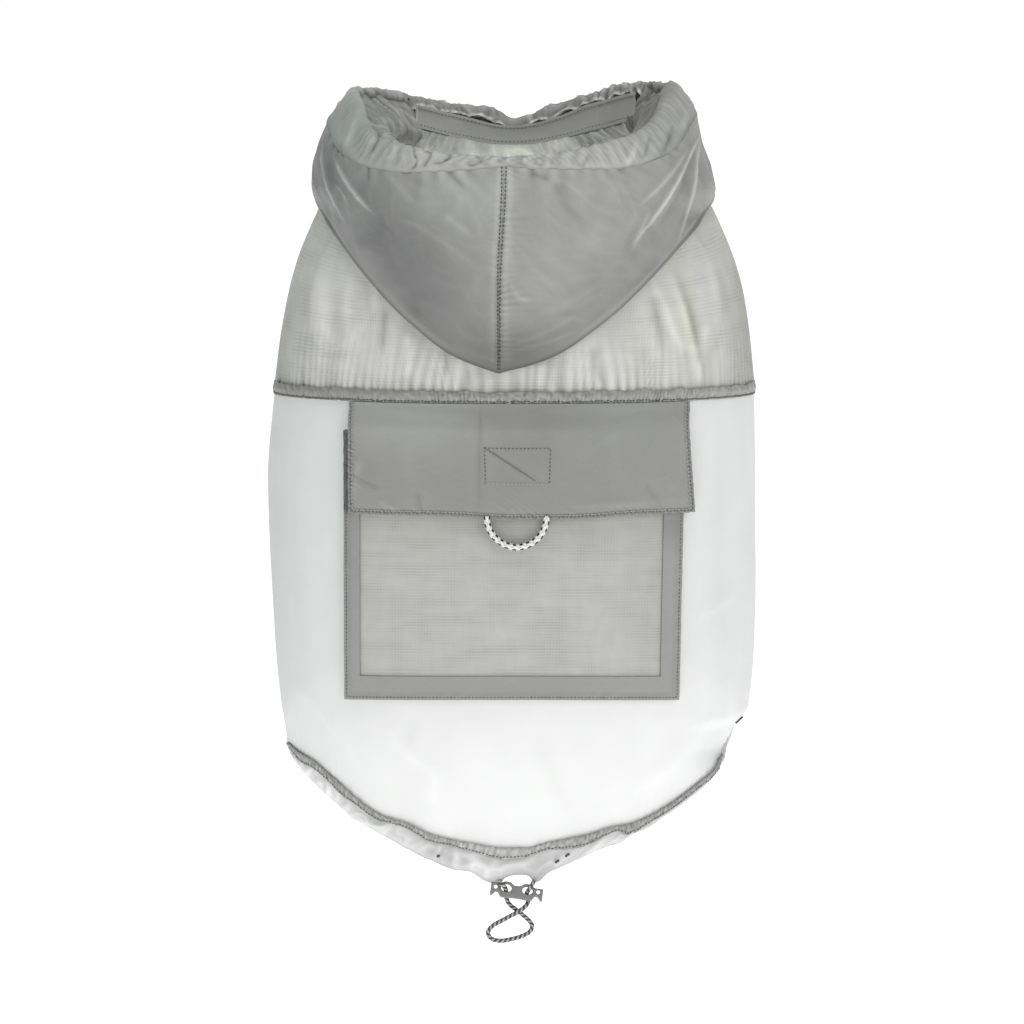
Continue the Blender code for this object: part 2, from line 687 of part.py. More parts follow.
grey = material("nylon_grey", GREY, 0.55)
ripstop = material("ripstop_grey", RIPSTOP, 0.6)
white = material("cloth_white", WHITE, 0.6)
braid = material("braid_white", (0.7, 0.7, 0.7, 1), 0.7)
elastic = material("cord_elastic", (0.35, 0.35, 0.35, 1), 0.7)
plastic = material("toggle_plastic", PLASTIC, 0.45)

body_panels()
leg_bindings()
yoke_band()
pocket()
hems()
hood()
toggle()
cords()
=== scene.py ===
import math

import bmesh
import bpy
import numpy as np
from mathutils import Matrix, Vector


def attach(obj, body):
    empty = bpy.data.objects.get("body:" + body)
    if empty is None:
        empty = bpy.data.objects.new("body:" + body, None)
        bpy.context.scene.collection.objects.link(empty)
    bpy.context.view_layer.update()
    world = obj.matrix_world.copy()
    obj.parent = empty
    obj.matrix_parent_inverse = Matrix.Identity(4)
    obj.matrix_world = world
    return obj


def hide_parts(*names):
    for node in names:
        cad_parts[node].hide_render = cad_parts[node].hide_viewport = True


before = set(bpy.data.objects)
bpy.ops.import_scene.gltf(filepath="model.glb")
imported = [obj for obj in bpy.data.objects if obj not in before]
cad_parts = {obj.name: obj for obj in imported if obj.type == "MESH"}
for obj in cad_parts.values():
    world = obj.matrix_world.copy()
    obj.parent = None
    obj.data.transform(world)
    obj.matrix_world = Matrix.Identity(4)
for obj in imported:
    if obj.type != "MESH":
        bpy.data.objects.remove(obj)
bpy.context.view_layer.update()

scene = bpy.context.scene
print("frame loaded:", len(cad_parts), "nodes")

# camera level with the middle of the garment's back, a little above it
view = {"target": (0.0, 0.0, -0.1705), "distance": 2.2, "elevation": 6.0, "width": 0.4915}

camera = bpy.data.objects.new("camera", bpy.data.cameras.new("camera"))
tilt = math.radians(view["elevation"])
camera.location = Vector(view["target"]) + view["distance"] * Vector((0, -math.cos(tilt), math.sin(tilt)))
camera.rotation_euler = (math.radians(90) - tilt, 0, 0)
camera.data.angle = 2 * math.atan(view["width"] / 2 / view["distance"])
camera.data.clip_start, camera.data.clip_end = 0.05, 50
scene.collection.objects.link(camera)
scene.camera = camera
scene.view_settings.view_transform = "Standard"


# the smooth form that every piece lies on
def curveThrough(keys, values):
    # an even curve through a table's column, with no overshoot
    keys, values = np.array(keys, float), np.array(values, float)
    rise = np.diff(values) / np.diff(keys)
    slopes = np.zeros(len(keys))
    slopes[0] = rise[0]
    slopes[1:-1] = np.where(rise[:-1] * rise[1:] > 0, (rise[:-1] + rise[1:]) / 2, 0)

    def at(key):
        key = np.clip(key, keys[0], keys[-1])
        i = np.clip(np.searchsorted(keys, key, side="right") - 1, 0, len(keys) - 2)
        span = keys[i + 1] - keys[i]
        t = (key - keys[i]) / span
        return ((2 * t ** 3 - 3 * t ** 2 + 1) * values[i] + (t ** 3 - 2 * t ** 2 + t) * span * slopes[i]
                + (3 * t ** 2 - 2 * t ** 3) * values[i + 1] + (t ** 3 - t ** 2) * span * slopes[i + 1])
    return at


def columnsOf(names, rows):
    # one curve for each named column of a table, by its first column
    names = names.split()
    keys = [row[0] for row in rows]
    return {name: curveThrough(keys, [row[i + 1] for row in rows]) for i, name in enumerate(names[1:])}


def smooth(t):
    t = np.clip(t, 0.0, 1.0)
    return t * t * (3 - 2 * t)


def ramp(value, start, end):
    # eases from 0 where the value is at start to 1 where it is at end
    return smooth((value - start) / (end - start))


def bell(value, centre, spread, power=2):
    return np.exp(-((value - centre) / spread) ** power)


def grid(across, down):
    # two arrays over a grid, each given as first, last and count
    return np.meshgrid(np.linspace(*across), np.linspace(*down))


garment = {"yokeDrop": 0.112, "lap": 0.0016, "wall": 0.0008, "gap": 0.0003, "squareness": 0.87,
           "neckLevel": 0.0075, "neckTilt": -0.0070, "neckSaddle": -0.0085}

bodyShape = columnsOf("drop halfWidth back front middle", (
    (0.000, 0.0620, 0.0440, 0.0480, 0.0000), (0.012, 0.0750, 0.0510, 0.0560, 0.0003),
    (0.025, 0.0860, 0.0575, 0.0620, 0.0006), (0.040, 0.0953, 0.0620, 0.0660, 0.0018),
    (0.058, 0.1042, 0.0655, 0.0690, 0.0018), (0.080, 0.1103, 0.0680, 0.0710, 0.0017),
    (0.112, 0.1141, 0.0695, 0.0720, 0.0011), (0.155, 0.1164, 0.0700, 0.0720, -0.0002),
    (0.213, 0.1155, 0.0685, 0.0705, 0.0010), (0.252, 0.1133, 0.0660, 0.0680, 0.0016),
    (0.281, 0.1085, 0.0635, 0.0660, 0.0010), (0.345, 0.0980, 0.0575, 0.0600, 0.0000)))

sideSeamAngle = columnsOf("drop angle", (
    (0.000, 154.0), (0.030, 147.0), (0.070, 130.0), (0.112, 105.0), (0.140, 93.0), (0.165, 90.0),
    (0.350, 90.0)))["angle"]

# broad soft folds: angle from the centre back, top, bottom, spread in degrees, height
foldFade = 0.03
broadFolds = ((-62.0, 0.050, 0.118, 9.0, 0.0014), (58.0, 0.052, 0.116, 8.0, 0.0018),
              (-74.0, 0.130, 0.262, 8.0, -0.0014), (72.0, 0.150, 0.270, 9.0, -0.0012),
              (-150.0, 0.118, 0.232, 9.0, 0.0016), (166.0, 0.126, 0.226, 8.0, -0.0014),
              (128.0, 0.140, 0.244, 9.0, 0.0015), (-112.0, 0.150, 0.250, 8.0, -0.0013))


def ringPoint(angle, halfWidth, back, front, middle=0.0):
    across, along = np.sin(np.radians(angle)), np.cos(np.radians(angle))
    power = garment["squareness"]
    x = middle + halfWidth * np.sign(across) * np.abs(across) ** power
    y = -np.where(along > 0, back, front) * np.sign(along) * np.abs(along) ** power
    return x, y


# the right hip is drawn in where its seam is tacked, in millimetres
hipHollow = columnsOf("drop drawnIn", (
    (0.2645, 0.0), (0.2665, 0.7), (0.2685, 2.6), (0.2705, 4.2), (0.2740, 4.7), (0.2805, 5.8), (0.2850, 3.9),
    (0.2900, 1.2), (0.2950, 0.0)))["drawnIn"]


def form(angle, drop):
    x, y = ringPoint(angle, *(bodyShape[name](drop) for name in ("halfWidth", "back", "front", "middle")))
    turn = np.radians(angle)
    neck = garment["neckLevel"] + garment["neckTilt"] * np.cos(turn) + garment["neckSaddle"] * np.cos(2 * turn)
    z = -drop + neck * (1 - smooth(drop / garment["yokeDrop"]))
    x = x - hipHollow(drop) / 1000 * ramp(x, 0.075, 0.105)
    return np.stack(np.broadcast_arrays(x, y, z), axis=-1)


def foldHeight(angle, drop):
    total = 0.0
    for centre, top, bottom, spread, height in broadFolds:
        away = (angle - centre + 180) % 360 - 180
        run = ramp(drop, top, top + foldFade) * ramp(drop, bottom, bottom - foldFade)
        total = total + height * run * bell(away, 0, spread)
    return total


def bodyPoint(angle, drop, lift=0.0):
    angle, drop, lift = np.broadcast_arrays(np.asarray(angle, float), np.asarray(drop, float), lift)
    # the slope is taken over a degree and a millimetre
    along = form(angle + 0.5, drop) - form(angle - 0.5, drop)
    low = np.maximum(drop, 0)
    down = form(angle, low + 0.0005) - form(angle, low - 0.0005)
    outward = np.cross(down, along)
    outward /= np.linalg.norm(outward, axis=-1, keepdims=True)
    return form(angle, drop) + outward * (lift + foldHeight(angle, drop))[..., None]


def angleAcross(across, drop):
    across = across - bodyShape["middle"](drop)
    share = np.minimum(np.abs(across) / bodyShape["halfWidth"](drop), 1.0)
    return np.sign(across) * np.degrees(np.arcsin(share ** (1 / garment["squareness"])))


def backPoint(across, drop, lift=0.0):
    return bodyPoint(angleAcross(across, drop), drop, lift)


def runAlong(line):
    # the length run so far along a line of points
    return np.concatenate(([0], np.cumsum(np.linalg.norm(np.diff(line, axis=0), axis=1))))


def resample(path, shares):
    # points at shares of a path's length
    lengths = runAlong(path)
    at = np.asarray(shares) * lengths[-1]
    return np.stack([np.interp(at, lengths, column) for column in path.T], axis=-1)


def smoothRoute(route, count):
    # evenly spaced points of a smooth curve through the points of a route
    points = np.array(route, float)
    ends = np.vstack((2 * points[0] - points[1], points, 2 * points[-1] - points[-2]))
    t = np.linspace(0, 1, 13)[:-1, None]
    fine = []
    for p0, p1, p2, p3 in zip(ends, ends[1:], ends[2:], ends[3:]):
        fine.append(0.5 * (2 * p1 + (p2 - p0) * t + (2 * p0 - 5 * p1 + 4 * p2 - p3) * t * t
                           + (3 * p1 - p0 - 3 * p2 + p3) * t ** 3))
    return resample(np.vstack(fine + [points[-1:]]), np.linspace(0, 1, count))


# soft relief: noise, creases and gathers, all in metres
def softNoise(u, v, seed):
    table = np.random.default_rng(seed).uniform(-1, 1, (64, 64))
    iu, iv = np.floor(u).astype(int), np.floor(v).astype(int)
    fu, fv = smooth(u - iu), smooth(v - iv)
    a, b, c, d = (table[(iu + i) % 64, (iv + j) % 64] for i, j in ((0, 0), (1, 0), (0, 1), (1, 1)))
    return (a * (1 - fu) + b * fu) * (1 - fv) + (c * (1 - fu) + d * fu) * fv


def creaseRelief(across, height, creases):
    # each crease is a bowed line: x and z of its ends, bow, half width and rise, all in millimetres,
    # and how sharp its crest is, from 1 to 2
    total = np.zeros(np.broadcast(across, height).shape)
    x, z = across * 1000, height * 1000
    for x0, z0, x1, z1, bow, width, rise, crest in creases:
        run = math.hypot(x1 - x0, z1 - z0)
        dx, dz = (x1 - x0) / run, (z1 - z0) / run
        along = ((x - x0) * dx + (z - z0) * dz) / run
        away = (x - x0) * dz - (z - z0) * dx
        away = away - bow * 4 * along * (1 - along) + 0.3 * softNoise(along * run / 2.4, 0.5, 7)
        fade = smooth((along + 0.12) / 0.3) * smooth((1.12 - along) / 0.45)
        total += rise * fade * np.exp(-(np.abs(away) / (width * (0.55 + 0.45 * fade))) ** crest)
    return total / 1000


def gathers(u, depth, pitch, reach, seed):
    # uneven little pleats that run out of a seam and fade with the distance from it
    phase = u / pitch + 0.75 * softNoise(u / pitch / 2.3, depth / reach * 0.6, seed)
    strength = 0.55 + 0.45 * softNoise(u / pitch / 3.1, 0.3, seed + 1)
    length = reach * (0.75 + 0.5 * softNoise(u / pitch / 1.7, 0.7, seed + 2))
    return np.cos(2 * np.pi * phase) * strength * np.exp(-np.maximum(depth, 0) / length)


def paintedReliefShade(relief, reach, gain):
    # painted shade and highlight: darkens the relief's valleys and lightens its crests, as shade and light
    # would fall on them
    blurred = np.array(relief, float)
    for axis in (0, 1):
        for _ in range(2):
            padded = np.pad(blurred, [(reach, reach) if i == axis else (0, 0) for i in (0, 1)], mode="edge")
            total = np.cumsum(padded, axis=axis)
            total = np.concatenate((np.zeros_like(np.take(total, [0], axis=axis)), total), axis=axis)
            size = 2 * reach + 1
            count = blurred.shape[axis]
            blurred = (np.take(total, np.arange(size, size + count), axis=axis)
                       - np.take(total, np.arange(count), axis=axis)) / size
    return np.clip(1 + gain * (relief - blurred) * 1000, 0.55, 2.1)[..., None]


def gathered(look, u, depth):
    height, pitch, reach, seed = look
    return height * gathers(u, depth, pitch, reach, seed)


def rolling(look, u, v):
    height, sizeU, sizeV, seed = look
    return height * softNoise(u / sizeU, v / sizeV, seed)


def crinkles(u, v, size, seed):
    # the sharp-crested little creases of handled nylon, at two sizes
    total = 0.0
    for scale, share in ((1.0, 0.65), (0.45, 0.35)):
        pushed = softNoise(u / size / scale * 0.5, v / size / scale * 0.5, seed + 5)
        ridge = 1 - np.abs(softNoise(u / size / scale + pushed, v / size / scale - pushed, seed))
        total = total + share * ridge ** 2
        seed += 1
    return total - 0.45


def paintedShadingPatches(across, height, patches):
    # soft areas painted darker or lighter in place of shade and light: middle, radii and turn in millimetres
    # and degrees, and the shade
    total = np.ones(np.broadcast(across, height).shape + (3,))
    x, z = across * 1000, height * 1000
    for cx, cz, rx, rz, turn, shade in patches:
        c, s = math.cos(math.radians(turn)), math.sin(math.radians(turn))
        u = ((x - cx) * c + (z - cz) * s) / rx
        v = (-(x - cx) * s + (z - cz) * c) / rz
        weight = np.exp(-(u * u + v * v))[..., None]
        total = total * (1 + weight * (np.array(shade) - 1))
    return total


laid = {}  # each cloth piece's outer face and its normals
areas = {}  # and the area of its cloth


def gridNormals(points, closed=False):
    if closed:
        across = np.roll(points, -1, axis=1) - np.roll(points, 1, axis=1)
    else:
        across = np.gradient(points, axis=1)
    down = np.gradient(points, axis=0)
    normal = np.cross(down, across)
    return normal / np.maximum(np.linalg.norm(normal, axis=-1, keepdims=True), 1e-12)


def makeMesh(name, vertices, faces, uv, tint, finish):
    mesh = bpy.data.meshes.new(name)
    mesh.from_pydata(vertices.tolist(), [], faces)
    corners = np.empty(len(mesh.loops), int)
    mesh.loops.foreach_get("vertex_index", corners)
    mesh.uv_layers.new(name="clothMap").data.foreach_set("uv", uv[corners].astype(np.float32).ravel())
    colour = np.ones((len(vertices), 4), np.float32)
    colour[:, :3] = tint
    mesh.color_attributes.new("tint", "FLOAT_COLOR", "POINT").data.foreach_set("color", colour.ravel())
    mesh.polygons.foreach_set("use_smooth", np.ones(len(mesh.polygons), bool))
    mesh.materials.append(finish)
    piece = bpy.data.objects.new(name, mesh)
    scene.collection.objects.link(piece)
    return piece


def gridQuads(rows, columns, outward, closed, keep):
    index = np.arange(rows * columns).reshape(rows, columns)
    right = np.roll(index, -1, axis=1) if closed else index[:, 1:]
    left = index if closed else index[:, :-1]
    quads = np.stack((left[:-1], left[1:], right[1:], right[:-1]), axis=-1)
    if outward < 0:
        quads = quads[..., ::-1]
    return (quads if keep is None else quads[keep]).reshape(-1, 4)


def edgesOfOneFace(quads, count):
    start = quads.ravel()
    end = np.roll(quads, -1, axis=1).ravel()
    lone = ~np.isin(start * count + end, end * count + start)
    return start[lone], end[lone]


def markSharp(mesh, rims, size):
    edges = np.empty(2 * len(mesh.edges), int)
    mesh.edges.foreach_get("vertices", edges)
    edges, rims = (np.sort(pairs.reshape(-1, 2), axis=1) for pairs in (edges, rims))
    sharp = np.isin(edges[:, 0] * size + edges[:, 1], rims[:, 0] * size + rims[:, 1])
    mesh.attributes.new("sharp_edge", "BOOLEAN", "EDGE").data.foreach_set("value", sharp)
    mesh.update()


def clothShell(name, points, wall, finish, outward=1, closed=False, keep=None, relief=0.0, tint=1.0,
               inside=1.0, crests=0.0, crestReach=4):
    # a thin closed shell laid on a grid of points (rows, columns); inside scales the tint of its inner face,
    # painted light for inner faces that lie in shade, and crests is the strength of the painted shade and
    # highlight on its relief
    rows, columns = points.shape[:2]
    count = rows * columns
    if crests:
        tint = np.broadcast_to(tint, (rows, columns, 3)) * paintedReliefShade(relief, crestReach, crests)
    normal = gridNormals(points, closed) * outward
    points = points + normal * np.broadcast_to(relief, (rows, columns))[..., None]
    normal = gridNormals(points, closed) * outward
    laid[name] = (points + normal * wall / 2, normal)
    quads = gridQuads(rows, columns, outward, closed, keep)
    a, b = edgesOfOneFace(quads, count)
    faces = np.concatenate((quads, quads[:, ::-1] + count, np.stack((a, a + count, b + count, b), axis=-1)))
    vertices = np.concatenate((points + normal * wall / 2, points - normal * wall / 2)).reshape(-1, 3)
    used = np.unique(faces)
    renumber = np.zeros(len(vertices), int)
    renumber[used] = np.arange(len(used))
    u, v = runAlong(points[rows // 2]), runAlong(points[:, columns // 2])
    uv = np.stack(np.meshgrid(u - u[-1] / 2, v), axis=-1).reshape(-1, 2)
    tint = np.broadcast_to(tint, (rows, columns, 3)).reshape(-1, 3)
    piece = makeMesh(name, vertices[used], renumber[faces].tolist(), np.concatenate((uv, uv))[used],
                     np.concatenate((tint, tint * inside))[used], finish)
    rims = np.stack((a, b), 1)
    markSharp(piece.data, renumber[np.concatenate((rims, rims + count))], len(used))
    faceAreas = np.empty(len(piece.data.polygons))
    piece.data.polygons.foreach_get("area", faceAreas)
    areas[name] = faceAreas.sum() / 2
    return piece


def seamOn(name, columnShares, rowShares, lift=0.0002):
    # a line on a finished piece's outer face, by shares of its grid
    points, normal = laid[name]
    columnShares, rowShares = np.broadcast_arrays(np.asarray(columnShares, float), np.asarray(rowShares, float))
    c = np.clip(columnShares, 0, 1) * (points.shape[1] - 1.001)
    r = np.clip(rowShares, 0, 1) * (points.shape[0] - 1.001)
    ci, ri = c.astype(int), r.astype(int)
    cf, rf = (c - ci)[:, None], (r - ri)[:, None]
    face = points + normal * lift
    return ((face[ri, ci] * (1 - cf) + face[ri, ci + 1] * cf) * (1 - rf)
            + (face[ri + 1, ci] * (1 - cf) + face[ri + 1, ci + 1] * cf) * rf)


def linear(hexColour, shade=1.0):
    values = [int(hexColour[i:i + 2], 16) / 255 for i in (1, 3, 5)]
    return [shade * (v / 12.92 if v <= 0.04045 else ((v + 0.055) / 1.055) ** 2.4) for v in values] + [1]


def addNode(tree, kind, settings=None, links=None):
    # settings are node properties or, by socket name or number, values; links are sockets to read from
    node = tree.nodes.new(kind)
    for key, value in (settings or {}).items():
        if isinstance(key, str) and hasattr(node, key):
            setattr(node, key, value)
        else:
            node.inputs[key].default_value = value
    for key, source in (links or {}).items():
        tree.links.new(source, node.inputs[key])
    return node


def newMaterial(name):
    finish = bpy.data.materials.new(name)
    finish.use_nodes = True
    tree = finish.node_tree
    tree.nodes.clear()
    shader = addNode(tree, "ShaderNodeBsdfPrincipled")
    addNode(tree, "ShaderNodeOutputMaterial", links={"Surface": shader.outputs["BSDF"]})
    return finish, tree, shader


def wovenCloth(name, look):
    # threads across and down, a coarser grid where the cloth is ripstop, and cloudy wear
    finish, tree, shader = newMaterial(name)
    place = addNode(tree, "ShaderNodeUVMap", {"uv_map": "clothMap"}).outputs["UV"]
    tint = addNode(tree, "ShaderNodeAttribute", {"attribute_name": "tint"}).outputs["Color"]
    threads = []
    for direction, pitch, stretch, share in (("X", look["threadAcross"], (1.0, 0.3, 1.0), look["acrossShare"]),
                                             ("Y", look["threadDown"], (0.22, 1.0, 1.0), 1.0)):
        wave = addNode(tree, "ShaderNodeTexWave", {
            "bands_direction": direction, "Scale": 2 * math.pi / 20 / pitch, "Distortion": look["waver"],
            "Detail": 1.0, "Detail Scale": 0.6}, {"Vector": place}).outputs["Fac"]
        stretched = addNode(tree, "ShaderNodeMapping", {"Scale": stretch}, {"Vector": place}).outputs[0]
        patch = addNode(tree, "ShaderNodeTexNoise", {"Scale": 1 / look["streakSize"], "Detail": 3.0},
                        {"Vector": stretched}).outputs["Fac"]
        patch = addNode(tree, "ShaderNodeMapRange", {"From Min": 0.40, "From Max": 0.72, "To Max": share},
                        {"Value": patch}).outputs[0]
        threads.append(addNode(tree, "ShaderNodeMath", {"operation": "MULTIPLY"},
                               {0: wave, 1: patch}).outputs[0])
    patchy = addNode(tree, "ShaderNodeMath", {"operation": "ADD"}, {0: threads[0], 1: threads[1]}).outputs[0]
    cloud = addNode(tree, "ShaderNodeTexNoise", {"Scale": 1 / look["cloudSize"], "Detail": 4.0,
                                                 "Roughness": 0.55}, {"Vector": place}).outputs["Fac"]
    ground = addNode(tree, "ShaderNodeMix", {"data_type": "RGBA", 6: linear(look["dark"]),
                                             7: linear(look["light"])}, {0: cloud}).outputs[2]
    amount = addNode(tree, "ShaderNodeMapRange", {"To Min": 1 + look["threadShade"] / 4,
                                                  "To Max": 1 - look["threadShade"]},
                     {"Value": patchy}).outputs[0]
    shaded = addNode(tree, "ShaderNodeVectorMath", {"operation": "SCALE"},
                     {"Vector": ground, "Scale": amount}).outputs["Vector"]
    dyed = addNode(tree, "ShaderNodeVectorMath", {"operation": "MULTIPLY"},
                   {0: shaded, 1: tint}).outputs["Vector"]
    tree.links.new(dyed, shader.inputs["Base Color"])
    crinkle = addNode(tree, "ShaderNodeTexNoise", {"Scale": 1 / look["crinkleSize"], "Detail": 5.0,
                                                   "Roughness": 0.62, "Distortion": 0.6}, {"Vector": place})
    rough = addNode(tree, "ShaderNodeMapRange", {"To Min": look["roughness"] - 0.06,
                                                 "To Max": look["roughness"] + 0.06},
                    {"Value": crinkle.outputs["Fac"]}).outputs[0]
    tree.links.new(rough, shader.inputs["Roughness"])
    raised = addNode(tree, "ShaderNodeBump", {"Strength": look["threadBump"], "Distance": 0.00012},
                     {"Height": patchy})
    soft = addNode(tree, "ShaderNodeBump", {"Strength": look["crinkleBump"], "Distance": 0.0009},
                   {"Height": crinkle.outputs["Fac"], "Normal": raised.outputs["Normal"]})
    tree.links.new(soft.outputs["Normal"], shader.inputs["Normal"])
    for socket, value in (("Alpha", look["alpha"]), ("Specular IOR Level", look["specular"]),
                          ("Sheen Weight", look["sheen"]), ("Sheen Roughness", 0.45)):
        shader.inputs[socket].default_value = value
    return finish


# calendered nylon taffeta: dense, opaque, smooth enough for a soft satin sheen along its creases
taffeta = wovenCloth("calenderedNylonTaffeta", {
    "dark": "#979896", "light": "#a1a2a0", "threadAcross": 0.0008, "threadDown": 0.0007, "waver": 1.2,
    "acrossShare": 0.5, "threadShade": 0.02, "cloudSize": 0.030, "streakSize": 0.006, "crinkleSize": 0.006,
    "roughness": 0.46, "threadBump": 0.04, "crinkleBump": 0.42, "alpha": 1.0, "specular": 0.5, "sheen": 0.04})

# thin ripstop nylon: a fine grid of thicker threads in a veil that lets light through
ripstop = wovenCloth("thinRipstopNylon", {
    "dark": "#bfc0bb", "light": "#d1d2cd", "threadAcross": 0.0014, "threadDown": 0.0014, "waver": 1.6,
    "acrossShare": 0.55, "threadShade": 0.17, "cloudSize": 0.014, "streakSize": 0.0065, "crinkleSize": 0.006,
    "roughness": 0.55, "threadBump": 0.10, "crinkleBump": 0.30, "alpha": 0.80, "specular": 0.4, "sheen": 0.05})

# brushed white polyester: close and matt, thin enough to glow where one layer hangs free
frosted = wovenCloth("thinWhitePolyester", {
    "dark": "#e7e8e7", "light": "#edeeed", "threadAcross": 0.0008, "threadDown": 0.0008, "waver": 0.6,
    "acrossShare": 0.6, "threadShade": 0.02, "cloudSize": 0.050, "streakSize": 0.012, "crinkleSize": 0.010,
    "roughness": 0.65, "threadBump": 0.05, "crinkleBump": 0.16, "alpha": 0.82, "specular": 0.3, "sheen": 0.08})


def plainYarn(name, colour, roughness, size):
    # spun yarn: matt, with a short twist
    finish, tree, shader = newMaterial(name)
    place = addNode(tree, "ShaderNodeTexCoord").outputs["Object"]
    grain = addNode(tree, "ShaderNodeTexNoise", {"Scale": 1 / size, "Detail": 2.0}, {"Vector": place})
    mix = addNode(tree, "ShaderNodeMix", {"data_type": "RGBA", 6: linear(colour, 0.75), 7: linear(colour, 1.2)},
                  {0: grain.outputs["Fac"]}).outputs[2]
    tree.links.new(mix, shader.inputs["Base Color"])
    shader.inputs["Roughness"].default_value = roughness
    return finish


def braidedYarn(name, colours, roughness):
    # the tint says which yarn a point is on: light yarn, dark tracer, and the painted shade between strands
    finish, tree, shader = newMaterial(name)
    tint = addNode(tree, "ShaderNodeAttribute", {"attribute_name": "tint"}).outputs["Color"]
    parts = addNode(tree, "ShaderNodeSeparateColor", links={0: tint})
    yarn = addNode(tree, "ShaderNodeMix", {"data_type": "RGBA", 6: linear(colours[0]), 7: linear(colours[1])},
                   {0: parts.outputs[0]}).outputs[2]
    place = addNode(tree, "ShaderNodeUVMap", {"uv_map": "clothMap"}).outputs["UV"]
    fibre = addNode(tree, "ShaderNodeTexNoise", {"Scale": 2500.0, "Detail": 2.0}, {"Vector": place})
    amount = addNode(tree, "ShaderNodeMath", {"operation": "MULTIPLY_ADD", 1: 0.25, 2: 0.875},
                     {0: fibre.outputs["Fac"]}).outputs[0]
    shade = addNode(tree, "ShaderNodeMath", {"operation": "MULTIPLY"},
                    {0: amount, 1: parts.outputs[1]}).outputs[0]
    colour = addNode(tree, "ShaderNodeVectorMath", {"operation": "SCALE"},
                     {"Vector": yarn, "Scale": shade}).outputs["Vector"]
    tree.links.new(colour, shader.inputs["Base Color"])
    bump = addNode(tree, "ShaderNodeBump", {"Strength": 0.2, "Distance": 0.0001},
                   {"Height": fibre.outputs["Fac"]})
    tree.links.new(bump.outputs["Normal"], shader.inputs["Normal"])
    shader.inputs["Roughness"].default_value = roughness
    return finish


def mouldedPlastic(name, colour):
    # moulded nylon: satin, with the faint mottle of the tool's surface
    finish, tree, shader = newMaterial(name)
    place = addNode(tree, "ShaderNodeTexCoord").outputs["Object"]
    mottle = addNode(tree, "ShaderNodeTexNoise", {"Scale": 450.0, "Detail": 4.0}, {"Vector": place})
    mix = addNode(tree, "ShaderNodeMix", {"data_type": "RGBA", 6: linear(colour, 0.86), 7: linear(colour, 1.1)},
                  {0: mottle.outputs["Fac"]}).outputs[2]
    bump = addNode(tree, "ShaderNodeBump", {"Strength": 0.15, "Distance": 0.0002},
                   {"Height": mottle.outputs["Fac"]})
    tree.links.new(mix, shader.inputs["Base Color"])
    tree.links.new(bump.outputs["Normal"], shader.inputs["Normal"])
    shader.inputs["Roughness"].default_value = 0.42
    return finish


greyThread = plainYarn("polyesterThreadGrey", "#4f504f", 0.7, 0.0004)
paleThread = plainYarn("polyesterThreadPale", "#6b6c6a", 0.7, 0.0004)
brightThread = plainYarn("polyesterThreadBright", "#a8a9a6", 0.7, 0.0004)
elasticBraid = braidedYarn("braidedElastic", ("#b4b4b2", "#404040"), 0.6)
whiteBraid = braidedYarn("braidedPolyesterCord", ("#ececE8", "#2a2a28"), 0.7)
toggleNylon = mouldedPlastic("mouldedNylon", "#828282")
print("materials made")


def cordMesh(name, route, diameter, braid, finish):
    # a tube whose surface is a real braid of crossing strands
    count = braid["rings"]
    path = smoothRoute(route, count)
    tangent = np.gradient(path, axis=0)
    tangent /= np.linalg.norm(tangent, axis=1, keepdims=True)
    side = np.cross(tangent, np.array((0, 1, 0)))
    side /= np.linalg.norm(side, axis=1, keepdims=True)
    normal = np.cross(side, tangent)
    turns = np.linspace(0, 2 * np.pi, braid["around"], endpoint=False)
    length = runAlong(path)[-1]
    along = np.linspace(0, length, count)[:, None] / braid["pitch"]
    wound = turns[None, :] / (2 * np.pi) * braid["strands"]
    a, b = along + wound, along - wound
    over = (np.floor(a) + np.floor(b)) % 2 == 0
    crest = np.where(over, np.abs(np.sin(np.pi * a)), np.abs(np.sin(np.pi * b)))
    radius = diameter / 2 * (1 - braid["relief"] * (1 - crest))
    points = (path[:, None] + side[:, None] * (np.cos(turns)[None, :, None] * radius[..., None])
              + normal[:, None] * (np.sin(turns)[None, :, None] * radius[..., None]))
    strand = np.where(over, np.floor(a), np.floor(b))
    tracer = (strand % braid["tracerEvery"] == 0).astype(float)
    if braid["edges"]:
        nearEdge = np.abs(np.cos(turns))[None, :] > braid["edges"]
        tracer = np.where(nearEdge & ((along % 1) < 0.5), 1.0, 0.0) * np.ones_like(crest)
    # painted shade: the yarn is darkened between the strands
    tint = np.stack((tracer, 0.45 + 0.55 * crest ** 0.6, np.zeros_like(crest)), axis=-1)
    rings, around = points.shape[:2]
    index = np.arange(rings * around).reshape(rings, around)
    quads = np.stack((index[:-1], np.roll(index, -1, 1)[:-1], np.roll(index, -1, 1)[1:], index[1:]), axis=-1)
    faces = quads.reshape(-1, 4).tolist() + [index[0][::-1].tolist(), index[-1].tolist()]
    uv = np.stack(np.meshgrid(turns / (2 * np.pi) * np.pi * diameter, np.linspace(0, length, count)), axis=-1)
    piece = makeMesh(name, points.reshape(-1, 3), faces, uv.reshape(-1, 2), tint.reshape(-1, 3), finish)
    return piece, path, length


toggleSet = {"at": (0.0022, -0.0586, -0.3442), "wall": 0.0030, "halfLength": 0.0124, "lean": 20.0, "roll": 7.6,
             "round": 0.0006, "roundSteps": 3, "outlinePoints": 49, "holePoints": 28, "merge": 0.000002,
             "sharpAngle": 40,
             # a crest and a belly: base, rise, where and spread; a notch and a hook: from, to and depth
             "crest": (0.0026, 0.0015, 0.0048, 0.0026), "belly": (0.0034, 0.0003, 0.0055, 0.0025),
             "notch": (0.0072, 0.0090, 0.0014), "hook": (0.0098, 0.0118, 0.0033),
             "holeLevel": 0.0010,  # the holes are centre, half width and half height
             "holes": ((-0.0050, 0.0025, 0.0019), (0.0050, 0.0025, 0.0019),
                       (-0.0101, 0.0009, 0.0010), (0.0101, 0.0009, 0.0010))}

